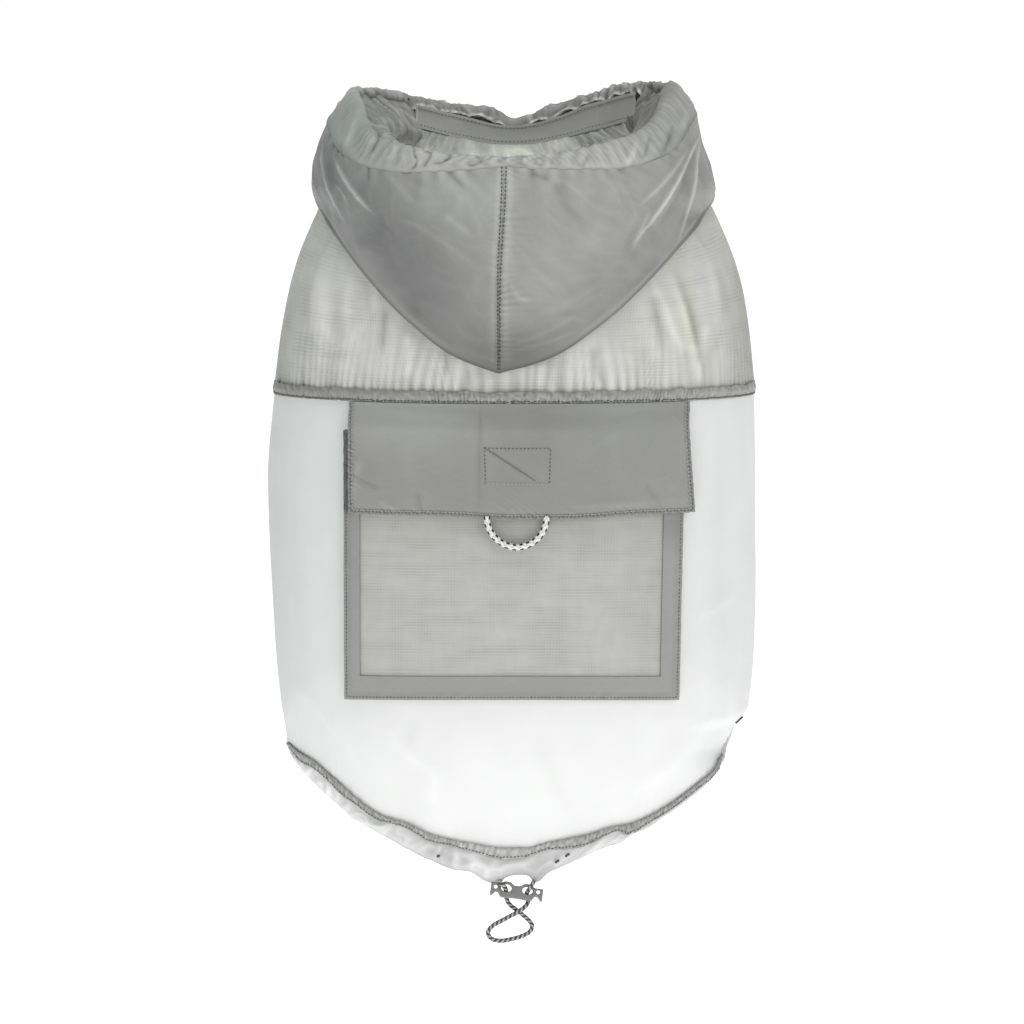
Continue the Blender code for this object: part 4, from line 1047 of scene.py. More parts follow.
def flapPlace(share, down):
    # sewn down at the seam, it steps up over the pocket's border and hangs a little lower in the middle
    sag = (0.0004 + 0.0016 * bell(share, 0.56, 0.20, 4)) * down
    drop = pocket["flapTop"] + (flapBottom - pocket["flapTop"]) * down
    rightEdge = pocket["flapRightTop"] + (pocket["flapRightBottom"] - pocket["flapRightTop"]) * down
    rise = ramp(drop, pocket["flapTop"], pocket["flapTop"] + flapLook["step"])
    across = pocket["flapLeft"] + (rightEdge - pocket["flapLeft"]) * share + (0.0010 - 0.0036 * share) * rise
    # the overlocked edge draws the cloth into little scallops
    edgeward = bell(np.minimum(share, 1 - share), 0, 0.012)
    across = across + 0.00018 * edgeward * softNoise(drop / 0.0017, 0.5 + share, 58)
    sag = sag + 0.00022 * bell(down, 1, 0.035) * softNoise(across / 0.0019, 0.5, 59)
    return backPoint(across, drop + sag, garment["lap"] + (pocket["level"] + garment["lap"]) * rise)


share, down = grid(*flapLook["grid"])
points = flapPlace(share, down)
x, y, z = axesOf(points)
edge = np.minimum(np.minimum(share, 1 - share) * flapLook["width"], (1 - down) * flapLook["height"])
relief = (creaseRelief(x, z, flapLook["creases"]) + gathered(flapLook["gathers"], x + z * 1.3, edge)
          + rolling(flapLook["waves"], x, z) - 0.0003 * bell(edge, 0.0020, 0.0005))
# painted shading: lighter at the upper left, darker down the middle crease and in the lower middle, with
# painted shade and highlight on its crests; it is also darker at its very edge
shade = 0.79 * (1 - 0.16 * bell(edge, 0.0004, 0.0006))
flap = clothShell("pocketFlap", points, clothWall, taffeta, relief=relief, crests=0.45,
                  tint=paintedShadingPatches(x, z, flapLook["paintedShading"]) * shade[..., None])
finishCloth(flap, "pocket_flap", "nylon_grey", (0.166, 0.056))
print("pocket made")

# hem band: a frayed, gathered strip that covers the casing's seam
hemBandLook = {"grid": ((-81, 70, 600), (0, 1, 9)), "jag": 0.00022, "jagAngle": 0.42, "puff": 0.00025,
               "gathers": (0.00030, 0.0020, 0.02, 74), "grain": (0.00030, 0.0012, 1 / 3.5, 68)}

angle, step = grid(*hemBandLook["grid"])
line, tall = hemLine(angle)
lowJag, highJag = (hemBandLook["jag"] * softNoise(angle / hemBandLook["jagAngle"], 0.5, seed)
                   for seed in (73, 66))
drop = line + lowJag * step - (tall + highJag) * (1 - step)
points = bodyPoint(angle, drop, garment["lap"] * (0.75 + 0.2 * ramp(np.abs(angle), 80, 60)))
reach = angle * clothPerDegree
relief = (gathered(hemBandLook["gathers"], reach + step * 0.0012, step * 0.01)
          + hemBandLook["puff"] * np.sin(np.pi * step) + rolling(hemBandLook["grain"], reach, step))
# its tone varies at random, lighter in the middle and darker at both edges; its crinkles carry painted shade
# and highlight
shade = (0.86 + 0.05 * ramp(angle, 40, 10) + 0.32 * bell(angle, -4, 14)
         + 0.16 * softNoise(reach / 0.0010, step * 3, 75) - 0.16 * bell(np.minimum(step, 1 - step), 0, 0.14))
hemBand = clothShell("hemBand", points, clothWall, taffeta, relief=relief, tint=shade[..., None], crests=1.1,
                     crestReach=2)
finishCloth(hemBand, "hem_band_back", "nylon_grey", (0.30, 0.010), area=0.0015)

# hem casing: a puffy channel round the cord, cut away in an arch where the cord comes out
casingLook = {"grid": ((-90, 90, 420), (0, 1, 22)), "wall": 0.0009, "lift": 0.0004, "lumps": 0.0006,
              "crinkle": 0.0010, "ragged": ((0.0008, 4.5, 1, 70), (0.0002, 1.6, 1, 69)),
              # where its edge is drawn down: across, spread and depth
              "drawnDown": ((-0.030, 0.011, 0.0027), (-0.011, 0.0045, 0.0012), (0.026, 0.011, 0.0024),
                            (0.065, 0.022, 0.0007), (0.0126, 0.0030, 0.0020))}

angle, step = grid(*casingLook["grid"])
endFade, flat = ramp(np.abs(angle), 90, 80), ramp(np.abs(angle), 76, 86)
top = hemSewn(angle) - hem["lap"]
low = (hemDrop(angle) - 0.0003 + sum(rolling(row, angle, 0.3) for row in casingLook["ragged"]) * endFade
       + 0.0020 * bell(angle, 0, 10, 4))
across = acrossAt(angle, low)
for centre, spread, depth in casingLook["drawnDown"]:
    low = low + depth * bell(across, centre, spread)
low = low - hem["archRise"] * np.sqrt(np.maximum(1 - ((across - hem["archCentre"]) / hem["archHalf"]) ** 2, 0))
puffy = np.sin(np.pi * step)
points = bodyPoint(angle, top + (low - top) * step,
                   casingLook["lift"] + hem["casingWall"] / 2 * np.maximum(puffy, 0) ** 0.7 * (1 - flat))
reach = angle * clothPerDegree
relief = puffy * (casingLook["lumps"] * softNoise((reach + step * 0.006) / 0.0085, step * 1.2, 76)
                  + casingLook["crinkle"] * crinkles(reach + step * 0.008, step * 0.009, 0.0090, 77))
# painted shade along its top and lower edges and round the arch, with painted shade and highlight on its
# crinkles; it is lighter towards the left and its tone varies at random
shade = (0.83 + 0.15 * ramp(angle, -20, -45) + 0.09 * softNoise(reach / 0.009 + 1.5 * step, step * 1.6, 78)
         - 0.08 * (1 - step) * endFade - 0.18 * ramp(step, 0.80, 1)
         - 0.10 * bell(across, hem["archCentre"], 0.016, 4) * step)
shade = shade * (1 - flat) + flat
casing = clothShell("hemCasing", points, casingLook["wall"], frosted, relief=relief * (1 - flat),
                    tint=shade[..., None], crests=0.70)
finishCloth(casing, "hem_casing_back", "cloth_white", (0.30, 0.010), area=0.0024)

angle, step = grid((90, 270, 300), (0, 1, 10))
points = bodyPoint(angle, bellyHemDrop(angle) - hem["bellyHeight"] * (1 - step), 0.0003 * np.sin(np.pi * step))
bellyHem = clothShell("bellyHem", points, 0.0016, frosted, tint=(0.965, 0.97, 0.97),
                      relief=gathered((0.0003, 0.0050, 0.02, 79), angle * clothPerDegree, 0))
finishCloth(bellyHem, "belly_hem", "cloth_white", (0.29, 0.010))
print("hems made")

# hood: folded down over the yoke, round at its lower edge, and rolled over at its rim
hood = {"turn": -2.5, "bulgeLevel": 0.40, "lean": 0.0015, "roll": 0.0050, "foldRadius": 0.0016,
        "innerLift": 0.0026, "innerSlack": 0.030, "start": 0.0010, "height": 0.075,
        "columns": 290, "innerRows": 20, "foldRows": 8, "outerRows": 132,
        "rimGathers": (0.0003, 0.0085, 0.007, 81), "waves": (0.0004, 0.012, 0.2, 82),
        "creased": 0.00022, "puckerLength": {-1: 0.0030, 1: 0.0065},
        # beside the centre seam: distance, spread and rise of its groove, its stitches and its edge
        "seamLines": ((0, 0.0006, -0.0005), (0.0014, 0.0006, -0.0003), (0.0034, 0.0012, 0.0002)),
        # how the rim sags at the throat: across, spread and depth
        "sags": ((-0.042, 0.028, 0.0024), (0.057, 0.012, -0.0014), (0.078, 0.010, 0.0022))}
hoodShape = columnsOf("angle foldDrop rimHeight topHeight", (
    (0, 0.0980, -0.0028, 0.0000), (10, 0.0890, -0.0040, 0.0014), (20, 0.0750, -0.0046, 0.0030),
    (35, 0.0560, -0.0044, 0.0068), (50, 0.0440, -0.0010, 0.0104), (65, 0.0388, 0.0055, 0.0170),
    (78, 0.0362, 0.0150, 0.0278), (92, 0.0340, 0.0180, 0.0323), (136, 0.0190, 0.0160, 0.0308),
    (152, 0.0130, 0.0140, 0.0277), (165, 0.0090, 0.0118, 0.0242), (176, 0.0065, 0.0090, 0.0208),
    (180, 0.0060, 0.0075, 0.0165)))
# half width, depth of the back and of the front, middle
hoodRings = {"rim": (0.0878, 0.0840, 0.0575, 0.0004), "top": (0.0748, 0.0790, 0.0530, 0.0004),
             "edge": (0.0715, 0.0710, 0.0500, 0.0004), "bulge": (0.0952, 0.0980, 0.0590, 0.0000)}


def hoodTurn(angle):
    # the folded hood sits a little turned on the neck
    return angle + hood["turn"] * ramp(np.abs(angle), 180, 90)


def hoodPaths(angle):
    # the hood's cut at each angle: down over the yoke, round the fold, up to the rim, over the casing
    turn = np.abs(angle)
    angle = hoodTurn(angle)
    foldDrop = hoodShape["foldDrop"](turn)
    low = (foldDrop - hood["foldRadius"])[:, None]
    share = np.linspace(0, 1, 25)[None, :]
    slack = hood["innerSlack"] * foldDrop[:, None] * np.sin(np.pi * share)
    lift = garment["lap"] + (hood["innerLift"] - garment["lap"]) * share + slack
    inner = bodyPoint(angle[:, None], hood["start"] + (low - hood["start"]) * share, lift)
    t = np.linspace(0, np.pi, 17)[None, :]
    fold = bodyPoint(angle[:, None], low + hood["foldRadius"] * np.sin(t),
                     hood["innerLift"] + hood["foldRadius"] * (1 - np.cos(t)))
    lean = hood["lean"] * np.sin(np.radians(angle))
    ring = {}
    for name, size in hoodRings.items():
        x, y = ringPoint(angle, *size)
        ring[name] = np.stack((x, y, np.zeros_like(x)), axis=-1)
    ring["rim"][:, 2] = hoodShape["rimHeight"](turn) + lean
    ring["top"][:, 2] = hoodShape["topHeight"](turn) + lean
    ring["edge"][:, 2] = ring["top"][:, 2] - hood["roll"]
    foot = fold[:, -1]
    ring["bulge"][:, 2] = ring["rim"][:, 2] + (foot[:, 2] - ring["rim"][:, 2]) * hood["bulgeLevel"]
    t = np.linspace(0, 1, 49)[None, :, None]
    outer = (foot[:, None] * (1 - t) ** 2 + ring["bulge"][:, None] * 2 * t * (1 - t)
             + ring["rim"][:, None] * t * t)
    crest = ring["rim"] + (ring["top"] - ring["rim"]) * 0.6 + (ring["rim"] - ring["edge"]) * 0.06
    return inner, fold, outer, np.stack((ring["rim"], crest, ring["top"], ring["edge"]), axis=1)


def hoodTrim(points):
    # the fold tucks in at the sides, the right side is waisted under the casing, the seam leans, and the
    # rim dips at the throat
    x, y, z = axesOf(points)
    side = ramp(np.abs(x), 0.070, 0.090) * np.sign(x)
    tuck = 0.0030 * bell(z, -0.025, 0.008)
    waist = np.where(x > 0, 0.0028, 0.0) * bell(z, 0.006, 0.013)
    lean = 0.0019 * bell(x, 0, 0.02) * ramp(z, -0.06, -0.01) * (y < 0)
    away = x - 0.0085
    dip = 0.0042 * np.exp(-np.abs(away) / np.where(away > 0, 0.0105, 0.0045)) * (y > 0)
    for centre, spread, sag in hood["sags"]:
        dip = dip + sag * bell(x, centre, spread) * ramp(y, -0.004, 0.012)
    return np.stack((x + lean - side * (tuck + waist), y, z - dip * ramp(z, 0.003, 0.014)), axis=-1)


hoodCreases = {
    "back": (
        # left: two bright folds from the casing's end, the valley beside them, small branches
        (-88.7, 5.0, -78.4, -27, 2.5, 1.1, 1.2, 1.05), (-82, -1.5, -64, -24.5, 1.0, 1.1, 1.2, 1.05),
        (-85.5, 0, -77, -24, 0.5, 2.6, -0.8, 1.5), (-66, -24, -34, -80, 3, 11, -1.6, 1.8),
        (-66.8, 1.5, -66.2, -11, 0, 0.8, -0.5, 1.2), (-58, -6, -45, -19, 0, 2.4, 0.5, 1.4),
        (-45, -28.4, -16, -49, -1, 1.8, 0.22, 1.4), (-31, -24, -19, -33, 0, 1.6, 0.35, 1.3),
        (-82, -12, -76, -20, -1, 0.9, 0.5, 1.1), (-52, 0, -40, -12, 1, 3.0, -0.5, 1.5),
        (-30, -4, -22, -12, 0, 2.2, -0.4, 1.5), (-74, -40, -50, -72, -2, 6, 0.7, 1.8),
        # right: two long bright folds and a fainter one beside them
        (87, 9, 56.5, -37, -2.0, 1.1, 1.0, 1.05), (81, 2.5, 58.5, -20.5, -1.0, 1.5, 0.6, 1.2),
        (87.2, 6.5, 77, -37, -1.5, 1.1, 1.0, 1.05), (84, 2, 68, -30, -2, 3.0, -0.9, 1.6),
        (63, -24, 55, -42, 0, 1.4, 0.4, 1.2), (72, -30, 40, -72, -4, 8, -0.7, 1.8),
        (20, -8, 34, -30, 2, 5.0, -0.5, 1.7), (46, -12, 30, -44, -2, 6.0, 0.5, 1.8),
        (14, -70, 44, -52, 2, 3.0, 0.35, 1.5), (0, -57, 9, -64, 2, 1.3, 0.4, 1.3),
        (-3, -88, 33, -77, 1.0, 1.2, 0.3, 1.3), (0, -84, 30, -70, 1.5, 1.4, 0.3, 1.3),
        (8, -5, 18, -9, 0, 2.0, -0.6, 1.4)),
    "front": (
        (-70, 4, -46, -16, 2, 1.6, 0.8, 1.2), (-40, 6, -22, -6, 1, 2.0, 0.6, 1.4),
        (66, 6, 44, -12, -2, 1.8, 0.8, 1.2), (34, 8, 18, -5, -1, 2.2, -0.6, 1.5),
        (-12, 6, -4, -4, 0, 1.8, 0.6, 1.4), (54, 12, 60, -14, 2, 3.0, -0.6, 1.6),
        (-60, 14, -66, -12, -2, 3.0, -0.6, 1.6))}
# painted shading: darker in the broad valley on the left, at the sides and towards the tip, lighter below the
# casing
hoodPaintedShading = ((-54, -42, 22, 52, 52, (0.49, 0.50, 0.50)), (-80, 6, 18, 16, 0, (0.87, 0.94, 0.92)),
             (-70, -14, 10, 14, 0, (0.94, 0.97, 0.96)), (-90, -14, 9, 26, 0, (0.58, 0.59, 0.59)),
             (-22, -14, 22, 16, 0, (1.17, 1.18, 1.18)), (20, -6, 30, 14, 0, 1.03),
             (0, -92, 34, 16, 0, (0.50, 0.50, 0.495)), (58, -50, 16, 50, -52, (0.72, 0.72, 0.715)),
             (56, -6, 24, 14, 0, (1.06, 1.06, 1.055)), (84, -18, 8, 22, 0, 0.82), (-38, -74, 16, 26, 50, 0.78))
# painted highlights along the brightest crests
hoodShine = ((-88.7, 5.0, -78.4, -27, 2.5, 0.8, 450, 1.3), (-82, -1.5, -64, -24.5, 1.0, 0.8, 380, 1.3),
             (87, 9, 56.5, -37, -2.0, 0.8, 420, 1.3), (87.2, 6.5, 77, -37, -1.5, 0.8, 420, 1.3),
             (-45, -28.4, -16, -49, -1, 0.7, 40, 1.3), (63, -24, 55, -42, 0, 0.7, 160, 1.3),
             (81, 2.5, 58.5, -20.5, -1.0, 0.7, 200, 1.3), (-85, -22, -82, -34, 0, 1.6, 260, 1.6))


def hoodPanel(side):
    # the seam side comes first in the grid on the right half and last on the left
    fine = np.linspace(0.0005, 180, 6000)
    lengths = runAlong(np.stack(ringPoint(fine, *hoodRings["bulge"]), axis=-1))
    turn = np.interp(np.linspace(0, lengths[-1], hood["columns"]), lengths, fine)
    angle = np.sort(side * turn)
    columns = []
    for inner, fold, outer in zip(*hoodPaths(angle)[:3]):
        columns.append(np.vstack((resample(inner, np.linspace(0, 1, hood["innerRows"]))[:-1],
                                  resample(fold, np.linspace(0, 1, hood["foldRows"]))[:-1],
                                  resample(outer, np.linspace(0, 0.998, hood["outerRows"])))))
    return np.interp(np.abs(angle), fine, lengths), hoodTrim(np.stack(columns, axis=1))


seamDistance = {}
for side, name, node in ((-1, "hoodLeft", "hood_left"), (1, "hoodRight", "hood_right")):
    seamDistance[side], points = hoodPanel(side)
    firstOuter = hood["innerRows"] + hood["foldRows"] - 2
    climb = np.clip((np.arange(points.shape[0]) - firstOuter) / (hood["outerRows"] - 1), -1, 1)[:, None]
    x, y, z = axesOf(points)
    fromSeam = seamDistance[side][None, :] + 0 * z
    onOuter, onBack = ramp(climb, 0, 0.05), ramp(y, -0.004, -0.016)
    relief = (creaseRelief(x, z, hoodCreases["back"]) * onBack
              + creaseRelief(x, z, hoodCreases["front"]) * (1 - onBack)) * ramp(climb, -0.02, 0.10)
    relief += onOuter * (gathered(hood["rimGathers"], side * fromSeam, (1 - climb) * hood["height"])
                         + rolling(hood["waves"], side * fromSeam, climb)
                         + hood["creased"] * crinkles(side * fromSeam + z * 0.4, z, 0.010, 85 + side))
    # the centre seam lies in a groove between two rows of stitches, with little puckers beside it
    puckers = (0.00034, 0.0030, hood["puckerLength"][side], 83 + side)
    sewn = sum(rise * bell(fromSeam, away, spread) for away, spread, rise in hood["seamLines"])
    relief += onOuter * onBack * (gathered(puckers, z, fromSeam) + sewn)
    # painted shading, with painted highlights along the brightest crests
    tint = paintedShadingPatches(x, z, hoodPaintedShading) * 0.915 * (1 + creaseRelief(x, z, hoodShine))[..., None]
    # painted shade under the fold and along the fold's edge, and a painted highlight just above it
    underside = ramp(climb, -0.12, -0.08) * ramp(climb, 0.004, -0.012)
    shade = 1 - 0.06 * bell(climb, 0, 0.10) + 0.05 * bell(climb, 0.02, 0.02) - 0.34 * underside
    tint = tint * shade[..., None]
    tinted = (ramp(y, 0.034, -0.016) * (climb > -0.1))[..., None]
    # the inner face is painted much lighter where it lies in shade, and the crests and valleys carry painted
    # shade and highlight
    piece = clothShell(name, points, garment["wall"], taffeta, outward=-1, relief=relief * onOuter,
                       tint=tint * tinted + 0.95 * (1 - tinted), inside=2.3, crests=0.75)
    finishCloth(piece, node, "nylon_grey", (0.24, 0.13), area=0.0235)

# hood casing: a folded channel drawn up by elastic, ragged along its inner edge; at the sides its inner
# leaf runs on down into the neck, with a crack at the brim
rimLook = {
    "columns": 760, "rows": 36, "clothPerDegree": 0.0014, "wall": 0.0010, "ease": 1.15, "width": 0.70,
    "farWidth": 0.18, "ragged": ((0.12, 0.0065, 1, 91), (0.09, 0.0026, 1, 92)), "leastRagged": -0.05,
    "footDrops": (0.0004, 0.0110), "footLift": -0.0024, "brim": 0.0215, "brimWaves": (0.0016, 0.007, 1, 67),
    "puff": 0.0010, "pleats": (0.0009, 0.0064, 0.02, 95), "finePleats": (0.0004, 0.0029, 0.02, 96),
    "creases": (
        (-48, -5.5, -43, -0.5, 0.6, 0.9, -0.9, 1.3), (-43, -0.5, -45.5, 6, -0.8, 0.9, -0.8, 1.3),
        (-41.5, 5, -36, 3.4, 0.8, 0.8, -0.7, 1.3), (-37, 3, -41.5, -4, -1.0, 0.9, -0.8, 1.3),
        (-36, -2.2, -26.5, 2.6, 0.8, 0.9, -0.9, 1.3), (-28, 3.2, -31, -1, -0.5, 0.8, -0.5, 1.3),
        (-20, -3, -12, 1.6, 0.7, 0.9, -0.8, 1.3), (-14, 2.5, -18, -2, -0.5, 0.7, -0.4, 1.3),
        (-2, -2.6, 7, -2.2, 0, 0.5, -0.8, 1.2), (-66, 2, -62, 12, 0.8, 1.2, -0.8, 1.4),
        (-78, 4, -72, 18, 1, 1.6, 0.7, 1.4), (-57, -1, -53, 8, 0.6, 1.3, 0.6, 1.4),
        (12, -3, 16, 2, 0.4, 1.0, -0.5, 1.4), (31, -4, 35, 3, 0.4, 1.2, -0.5, 1.4),
        (52, -3, 57, 8, 0.5, 1.3, 0.6, 1.4), (68, -1, 74, 14, 0.8, 1.5, -0.9, 1.4),
        (77, 4, 80, 20, 0.6, 1.3, 0.7, 1.4), (60, 0, 63, 10, 0.4, 1.0, -0.5, 1.4)),
    "paintedShading": ((-74, 10, 16, 22, 0, (0.84, 0.92, 0.89)), (-40, 0, 16, 12, 0, 1.12),
              (18, 0, 40, 12, 0, (1.07, 1.07, 1.06)), (54, 2, 18, 12, 0, 1.12),
              (74, 8, 13, 20, 0, (0.86, 0.87, 0.865)))}

angle = np.linspace(-180, 180, rimLook["columns"])
share = np.linspace(0, 1, rimLook["rows"])
reach = angle * rimLook["clothPerDegree"]
farSide, ends = ramp(np.abs(angle), 95, 120), ramp(np.abs(angle), 180, 175)
deep = ramp(angle, 50, 66) * ramp(angle, 123, 116) + ramp(-angle, 50, 66) * ramp(angle, -139, -134)
ragged = sum(rolling(row, reach, 0.5) for row in rimLook["ragged"]) * ends
ragged = np.where(farSide > 0.5, np.maximum(ragged, rimLook["leastRagged"]), ragged)
width = rimLook["ease"] * (rimLook["width"] + rimLook["farWidth"] * farSide + ragged)
foot = bodyPoint(hoodTurn(angle)[:, None], np.array([rimLook["footDrops"]]), rimLook["footLift"])
columns = []
for over, below, part, depth in zip(hoodPaths(angle)[3], foot, width, deep):
    path = smoothRoute(np.vstack((over, below)), 90)
    part = part * runAlong(over)[-1] / runAlong(path)[-1]
    columns.append(resample(path, share * (part + (1 - part) * depth)))
points = hoodTrim(np.stack(columns, axis=1))
x, y, z = axesOf(points)
climb = share[:, None] + 0 * x
u = reach[None, :] + 0 * x
run = np.stack([runAlong(points[:, i]) for i in range(len(angle))], axis=1)
near = ramp(y, -0.004, -0.016)
leaf = deep * ramp(run, 0.012, 0.022)
brim = rimLook["brim"] + rolling(rimLook["brimWaves"], u, 0.5)
crack = bell(run, brim, 0.0008) * deep
shear = 0.0045 * np.sin(2 * np.pi * climb) * softNoise(u / 0.02, 0.1, 93)
drawn = ends * (1 - 0.8 * leaf) * ((0.35 + 0.35 * softNoise(u / 0.03, 0.9, 94)) * near + 0.34 * (1 - near))
creased = 0.00030 + 0.0014 * np.maximum((1 - near) * (1 - deep * (1 - deep) * 3), leaf ** 3)
relief = (rimLook["puff"] * np.sin(np.pi * np.clip(climb * 1.1, 0, 1)) ** 0.8
          + drawn * (gathered(rimLook["pleats"], u + shear, 0) * ramp(climb, 0, 0.25)
                     + gathered(rimLook["finePleats"], u - shear, 0) * ramp(climb, 0, 0.2))
          + 1.2 * creaseRelief(x, z, rimLook["creases"]) * near * ramp(climb, 0, 0.15)
          + creased * crinkles(u + run * 0.3, run, 0.0085, 98) * ends
          - 0.0004 * bell(climb, 0, 0.04) - 0.0008 * crack + 0.0007 * ramp(run, brim, brim - 0.001) * deep)
tinted = ramp(y, 0.034, -0.016)[..., None]
# painted shading on the near part; the far part inside the throat has a flat tone
tint = paintedShadingPatches(x, z, rimLook["paintedShading"]) * tinted + 0.92 * (1 - tinted)
# painted shade in the crack at the brim and over the inner leaf on the right
tint = tint * (1 - 0.5 * crack - 0.36 * leaf * ramp(x, 0, 0.02))[..., None]
# the raw edge is frayed pale
pale = (ramp(climb, 0.90, 0.96) * (1 - deep))[..., None]
tint = tint * (1 - pale) + pale * (1.25 + 0.45 * (1 - near))[..., None]
# the inner face is painted lighter where it lies in shade, and the crests and valleys carry painted shade and
# highlight
hoodCasing = clothShell("hoodCasing", points, rimLook["wall"], taffeta, outward=-1, relief=relief, tint=tint,
                        inside=1.35, crests=0.70)
finishCloth(hoodCasing, "hood_casing", "nylon_grey", (0.58, 0.022))

# neck band inside the throat: its foot and top follow the ring unevenly, a stitched groove near its top
neckBand = {"grid": ((106, 226.5, 240), (1, 0, 18)), "groove": (0.86, 0.05), "waves": (0.0003, 6, 0.5, 97)}
neckShape = columnsOf("angle foot top", (
    (106, 0.0002, 0.0138), (145, 0.0010, 0.0142), (161, 0.0000, 0.0112), (180, -0.0012, 0.0078),
    (198, 0.0000, 0.0108), (226.5, 0.0007, 0.0116)))
angle, part = grid(*neckBand["grid"])
rise = neckShape["foot"](angle) + (neckShape["top"](angle) - neckShape["foot"](angle)) * part
points = bodyPoint(angle, -rise, -garment["lap"] / 2 - 0.0004 * part)
groove = bell(part, *neckBand["groove"])
# painted light: the band is brightened where the throat shades it, more towards its foot, with painted shade in
# the stitched groove; it is lighter at its end
shade = 1.42 - 0.30 * part - 0.26 * groove + 0.45 * ramp(angle, 225.2, 226.0)
neckPiece = clothShell("neckBand", points, clothWall, taffeta, tint=shade[..., None],
                       relief=rolling(neckBand["waves"], angle, part) - 0.0003 * groove)
finishCloth(neckPiece, "neck_band", "nylon_grey", (0.12, 0.0105))
print("hood made")

# seams: each row is its name, its lines, the kind of stitch and the thread
sewing = {"fine": {"pitch": 0.0017, "length": 0.00115, "thickness": 0.00062},
          "faint": {"pitch": 0.0019, "length": 0.0009, "thickness": 0.0005},
          "bold": {"pitch": 0.0018, "length": 0.0012, "thickness": 0.00062},
          "long": {"pitch": 0.0016, "length": 0.0017, "thickness": 0.00035},
          "tack": {"pitch": 0.0006, "length": 0.0011, "thickness": 0.0012}}


def hoodSeam(side, name, offset):
    # a row beside the centre seam, from the casing to the tip
    narrowing = offset * (0.35 + 0.65 * smooth(np.linspace(0.12, 1, 400)))
    last = hood["columns"] - 1
    column = np.interp(narrowing, np.sort(seamDistance[side]), np.arange(last + 1)) / last
    beforeOuter = hood["innerRows"] + hood["foldRows"] - 1
    rows = np.linspace(beforeOuter / (beforeOuter + hood["outerRows"] - 1), 0.997, 400)
    return seamOn(name, column if side > 0 else 1 - column, rows, 0.0003)


def flapLine(route, count):
    line = resample(np.array(route, float), np.linspace(0, 1, count))
    return seamOn("pocketFlap", line[:, 0], line[:, 1])


def flapFrame(inset, top, bottom):
    # down one side of the flap, along its lower edge and up the other side
    return flapLine([(inset, top), (inset, bottom), (1 - inset, bottom), (1 - inset, top)], 500)


def borderLine(inset):
    left, right, low = pocket["left"] + inset, pocket["right"] - inset, pocket["bottom"] - inset
    corners = np.array([(left, pocket["top"]), (left, low), (right, low), (right, pocket["top"])])
    line = resample(corners, np.linspace(0, 1, 240))
    return pocketPlace(line[:, 0], line[:, 1], pocket["level"] + 0.0013)


# bar tacks on the casing and at the right hip, in millimetres: across and drop at the start, the same at
# the end, and the lift off the back
tacks = ((20.4, 329.8, 21.6, 329.0, 2.6), (25.2, 326.8, 26.4, 326.0, 2.6), (-34.7, 327.3, -34.0, 327.0, 2.4),
         (110.0, 266.6, 110.2, 269.6, 1.2))
tackLines = [backPoint(np.array([x0, x1]) / 1000, np.array([drop0, drop1]) / 1000, lift / 1000)
             for x0, drop0, x1, drop1, lift in tacks]
bellyAngle = np.linspace(94, 266, 300)
bandLines = [seamOn("yokeSeamBand", np.linspace(0.005, 0.995, 900), 0.86),
             bodyPoint(bellyAngle, bellyHemDrop(bellyAngle) - 0.0068, 0.0012)]
neckLines = [seamOn("neckBand", np.linspace(0.01, 0.99, 400), share, -0.0010) for share in (0.14, 0.86)]
hoodLines = [hoodSeam(-1, "hoodLeft", 0.0015), hoodSeam(1, "hoodRight", 0.0015)]
flapBox = [(0.585, 0.675), (0.592, 0.383), (0.398, 0.383), (0.398, 0.690)]
for name, lines, stitch, thread in (
        ("hoodSeamStitches", hoodLines, "bold", greyThread),
        ("bandStitches", bandLines, "fine", greyThread),
        ("neckStitches", neckLines, "faint", paleThread),
        ("hemStitches", [seamOn("hemBand", np.linspace(0.03, 0.97, 700), 0.78)], "fine", paleThread),
        ("flapStitches", [flapFrame(0.0065, 0.02, 0.982), flapLine(flapBox, 160)], "bold", paleThread),
        ("flapPaleStitches", [flapFrame(0.0120, 0.03, 0.968), flapLine([(0.398, 0.690), (0.585, 0.690)], 60)],
         "fine", brightThread),
        ("flapBarStitches", [flapLine([(0.398, 0.383), (0.540, 0.655)], 60)], "long", paleThread),
        ("borderStitches", [borderLine(0.0012)], "fine", paleThread),
        ("barTacks", tackLines, "tack", greyThread)):
    sewRows(name, lines, sewing[stitch], thread)
print("seams sewn")

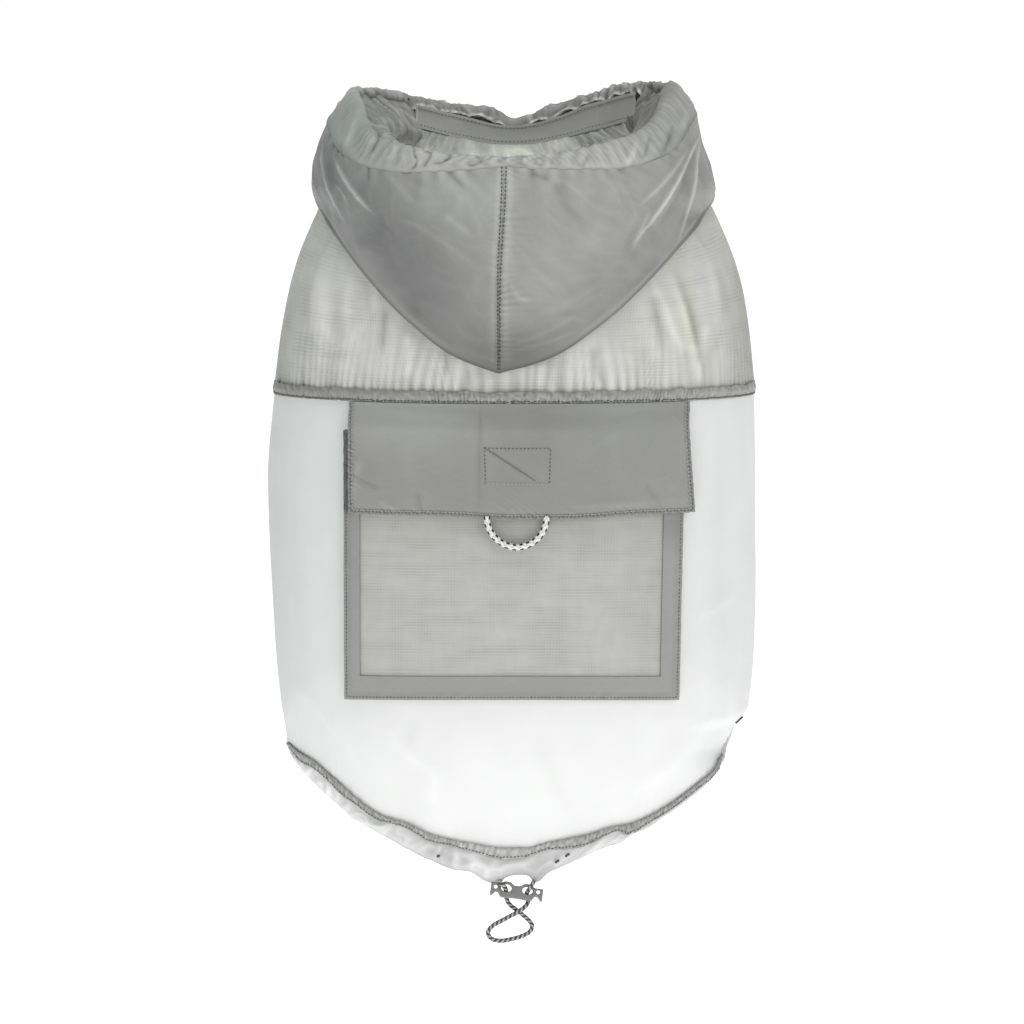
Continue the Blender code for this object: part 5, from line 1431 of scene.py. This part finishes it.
# a pale floor, a white room, a large soft lamp in front at the right and one overhead
studio = {"floorSize": 30.0, "floorLevel": -0.45, "floorTone": 0.97, "floorGlow": 0.80, "background": 1.02,
          "room": 0.40, "aim": (0, 0, -0.17),
          "lamps": (("keyLamp", (1.5, -1.9, 1.3), 1.3, 12.7), ("topLamp", (-0.1, -0.5, 1.8), 1.0, 12.0))}


def layFloor():
    size, level, tone = studio["floorSize"], studio["floorLevel"], studio["floorTone"]
    mesh = bpy.data.meshes.new("floor")
    corners = [(x * size, y * size, level) for x, y in ((-1, -1), (1, -1), (1, 1), (-1, 1))]
    mesh.from_pydata(corners, [], [(0, 1, 2, 3)])
    finish, tree, shader = newMaterial("paleFloor")
    for socket, value in (("Base Color", (tone, tone, tone, 1)), ("Emission Color", (1, 1, 1, 1)),
                          ("Emission Strength", studio["floorGlow"]), ("Roughness", 0.9),
                          ("Specular IOR Level", 0.0)):
        shader.inputs[socket].default_value = value
    mesh.materials.append(finish)
    floor = bpy.data.objects.new("floor", mesh)
    scene.collection.objects.link(floor)


def lightRoom():
    scene.world = bpy.data.worlds.new("studio")
    scene.world.use_nodes = True
    tree = scene.world.node_tree
    tree.nodes.clear()
    seen, cast = (addNode(tree, "ShaderNodeBackground", {"Color": (1, 1, 1, 1), "Strength": studio[name]})
                  for name in ("background", "room"))
    rays = addNode(tree, "ShaderNodeLightPath")
    mixed = addNode(tree, "ShaderNodeMixShader", links={0: rays.outputs["Is Camera Ray"], 1: cast.outputs[0],
                                                        2: seen.outputs[0]})
    addNode(tree, "ShaderNodeOutputWorld", links={"Surface": mixed.outputs[0]})
    for name, place, size, power in studio["lamps"]:
        lamp = bpy.data.lights.new(name, "AREA")
        lamp.shape, lamp.size, lamp.energy = "DISK", size, power
        holder = bpy.data.objects.new(name, lamp)
        holder.location = place
        holder.rotation_euler = (Vector(studio["aim"]) - Vector(place)).to_track_quat("-Z", "Y").to_euler()
        scene.collection.objects.link(holder)


layFloor()
lightRoom()
print("stage set")
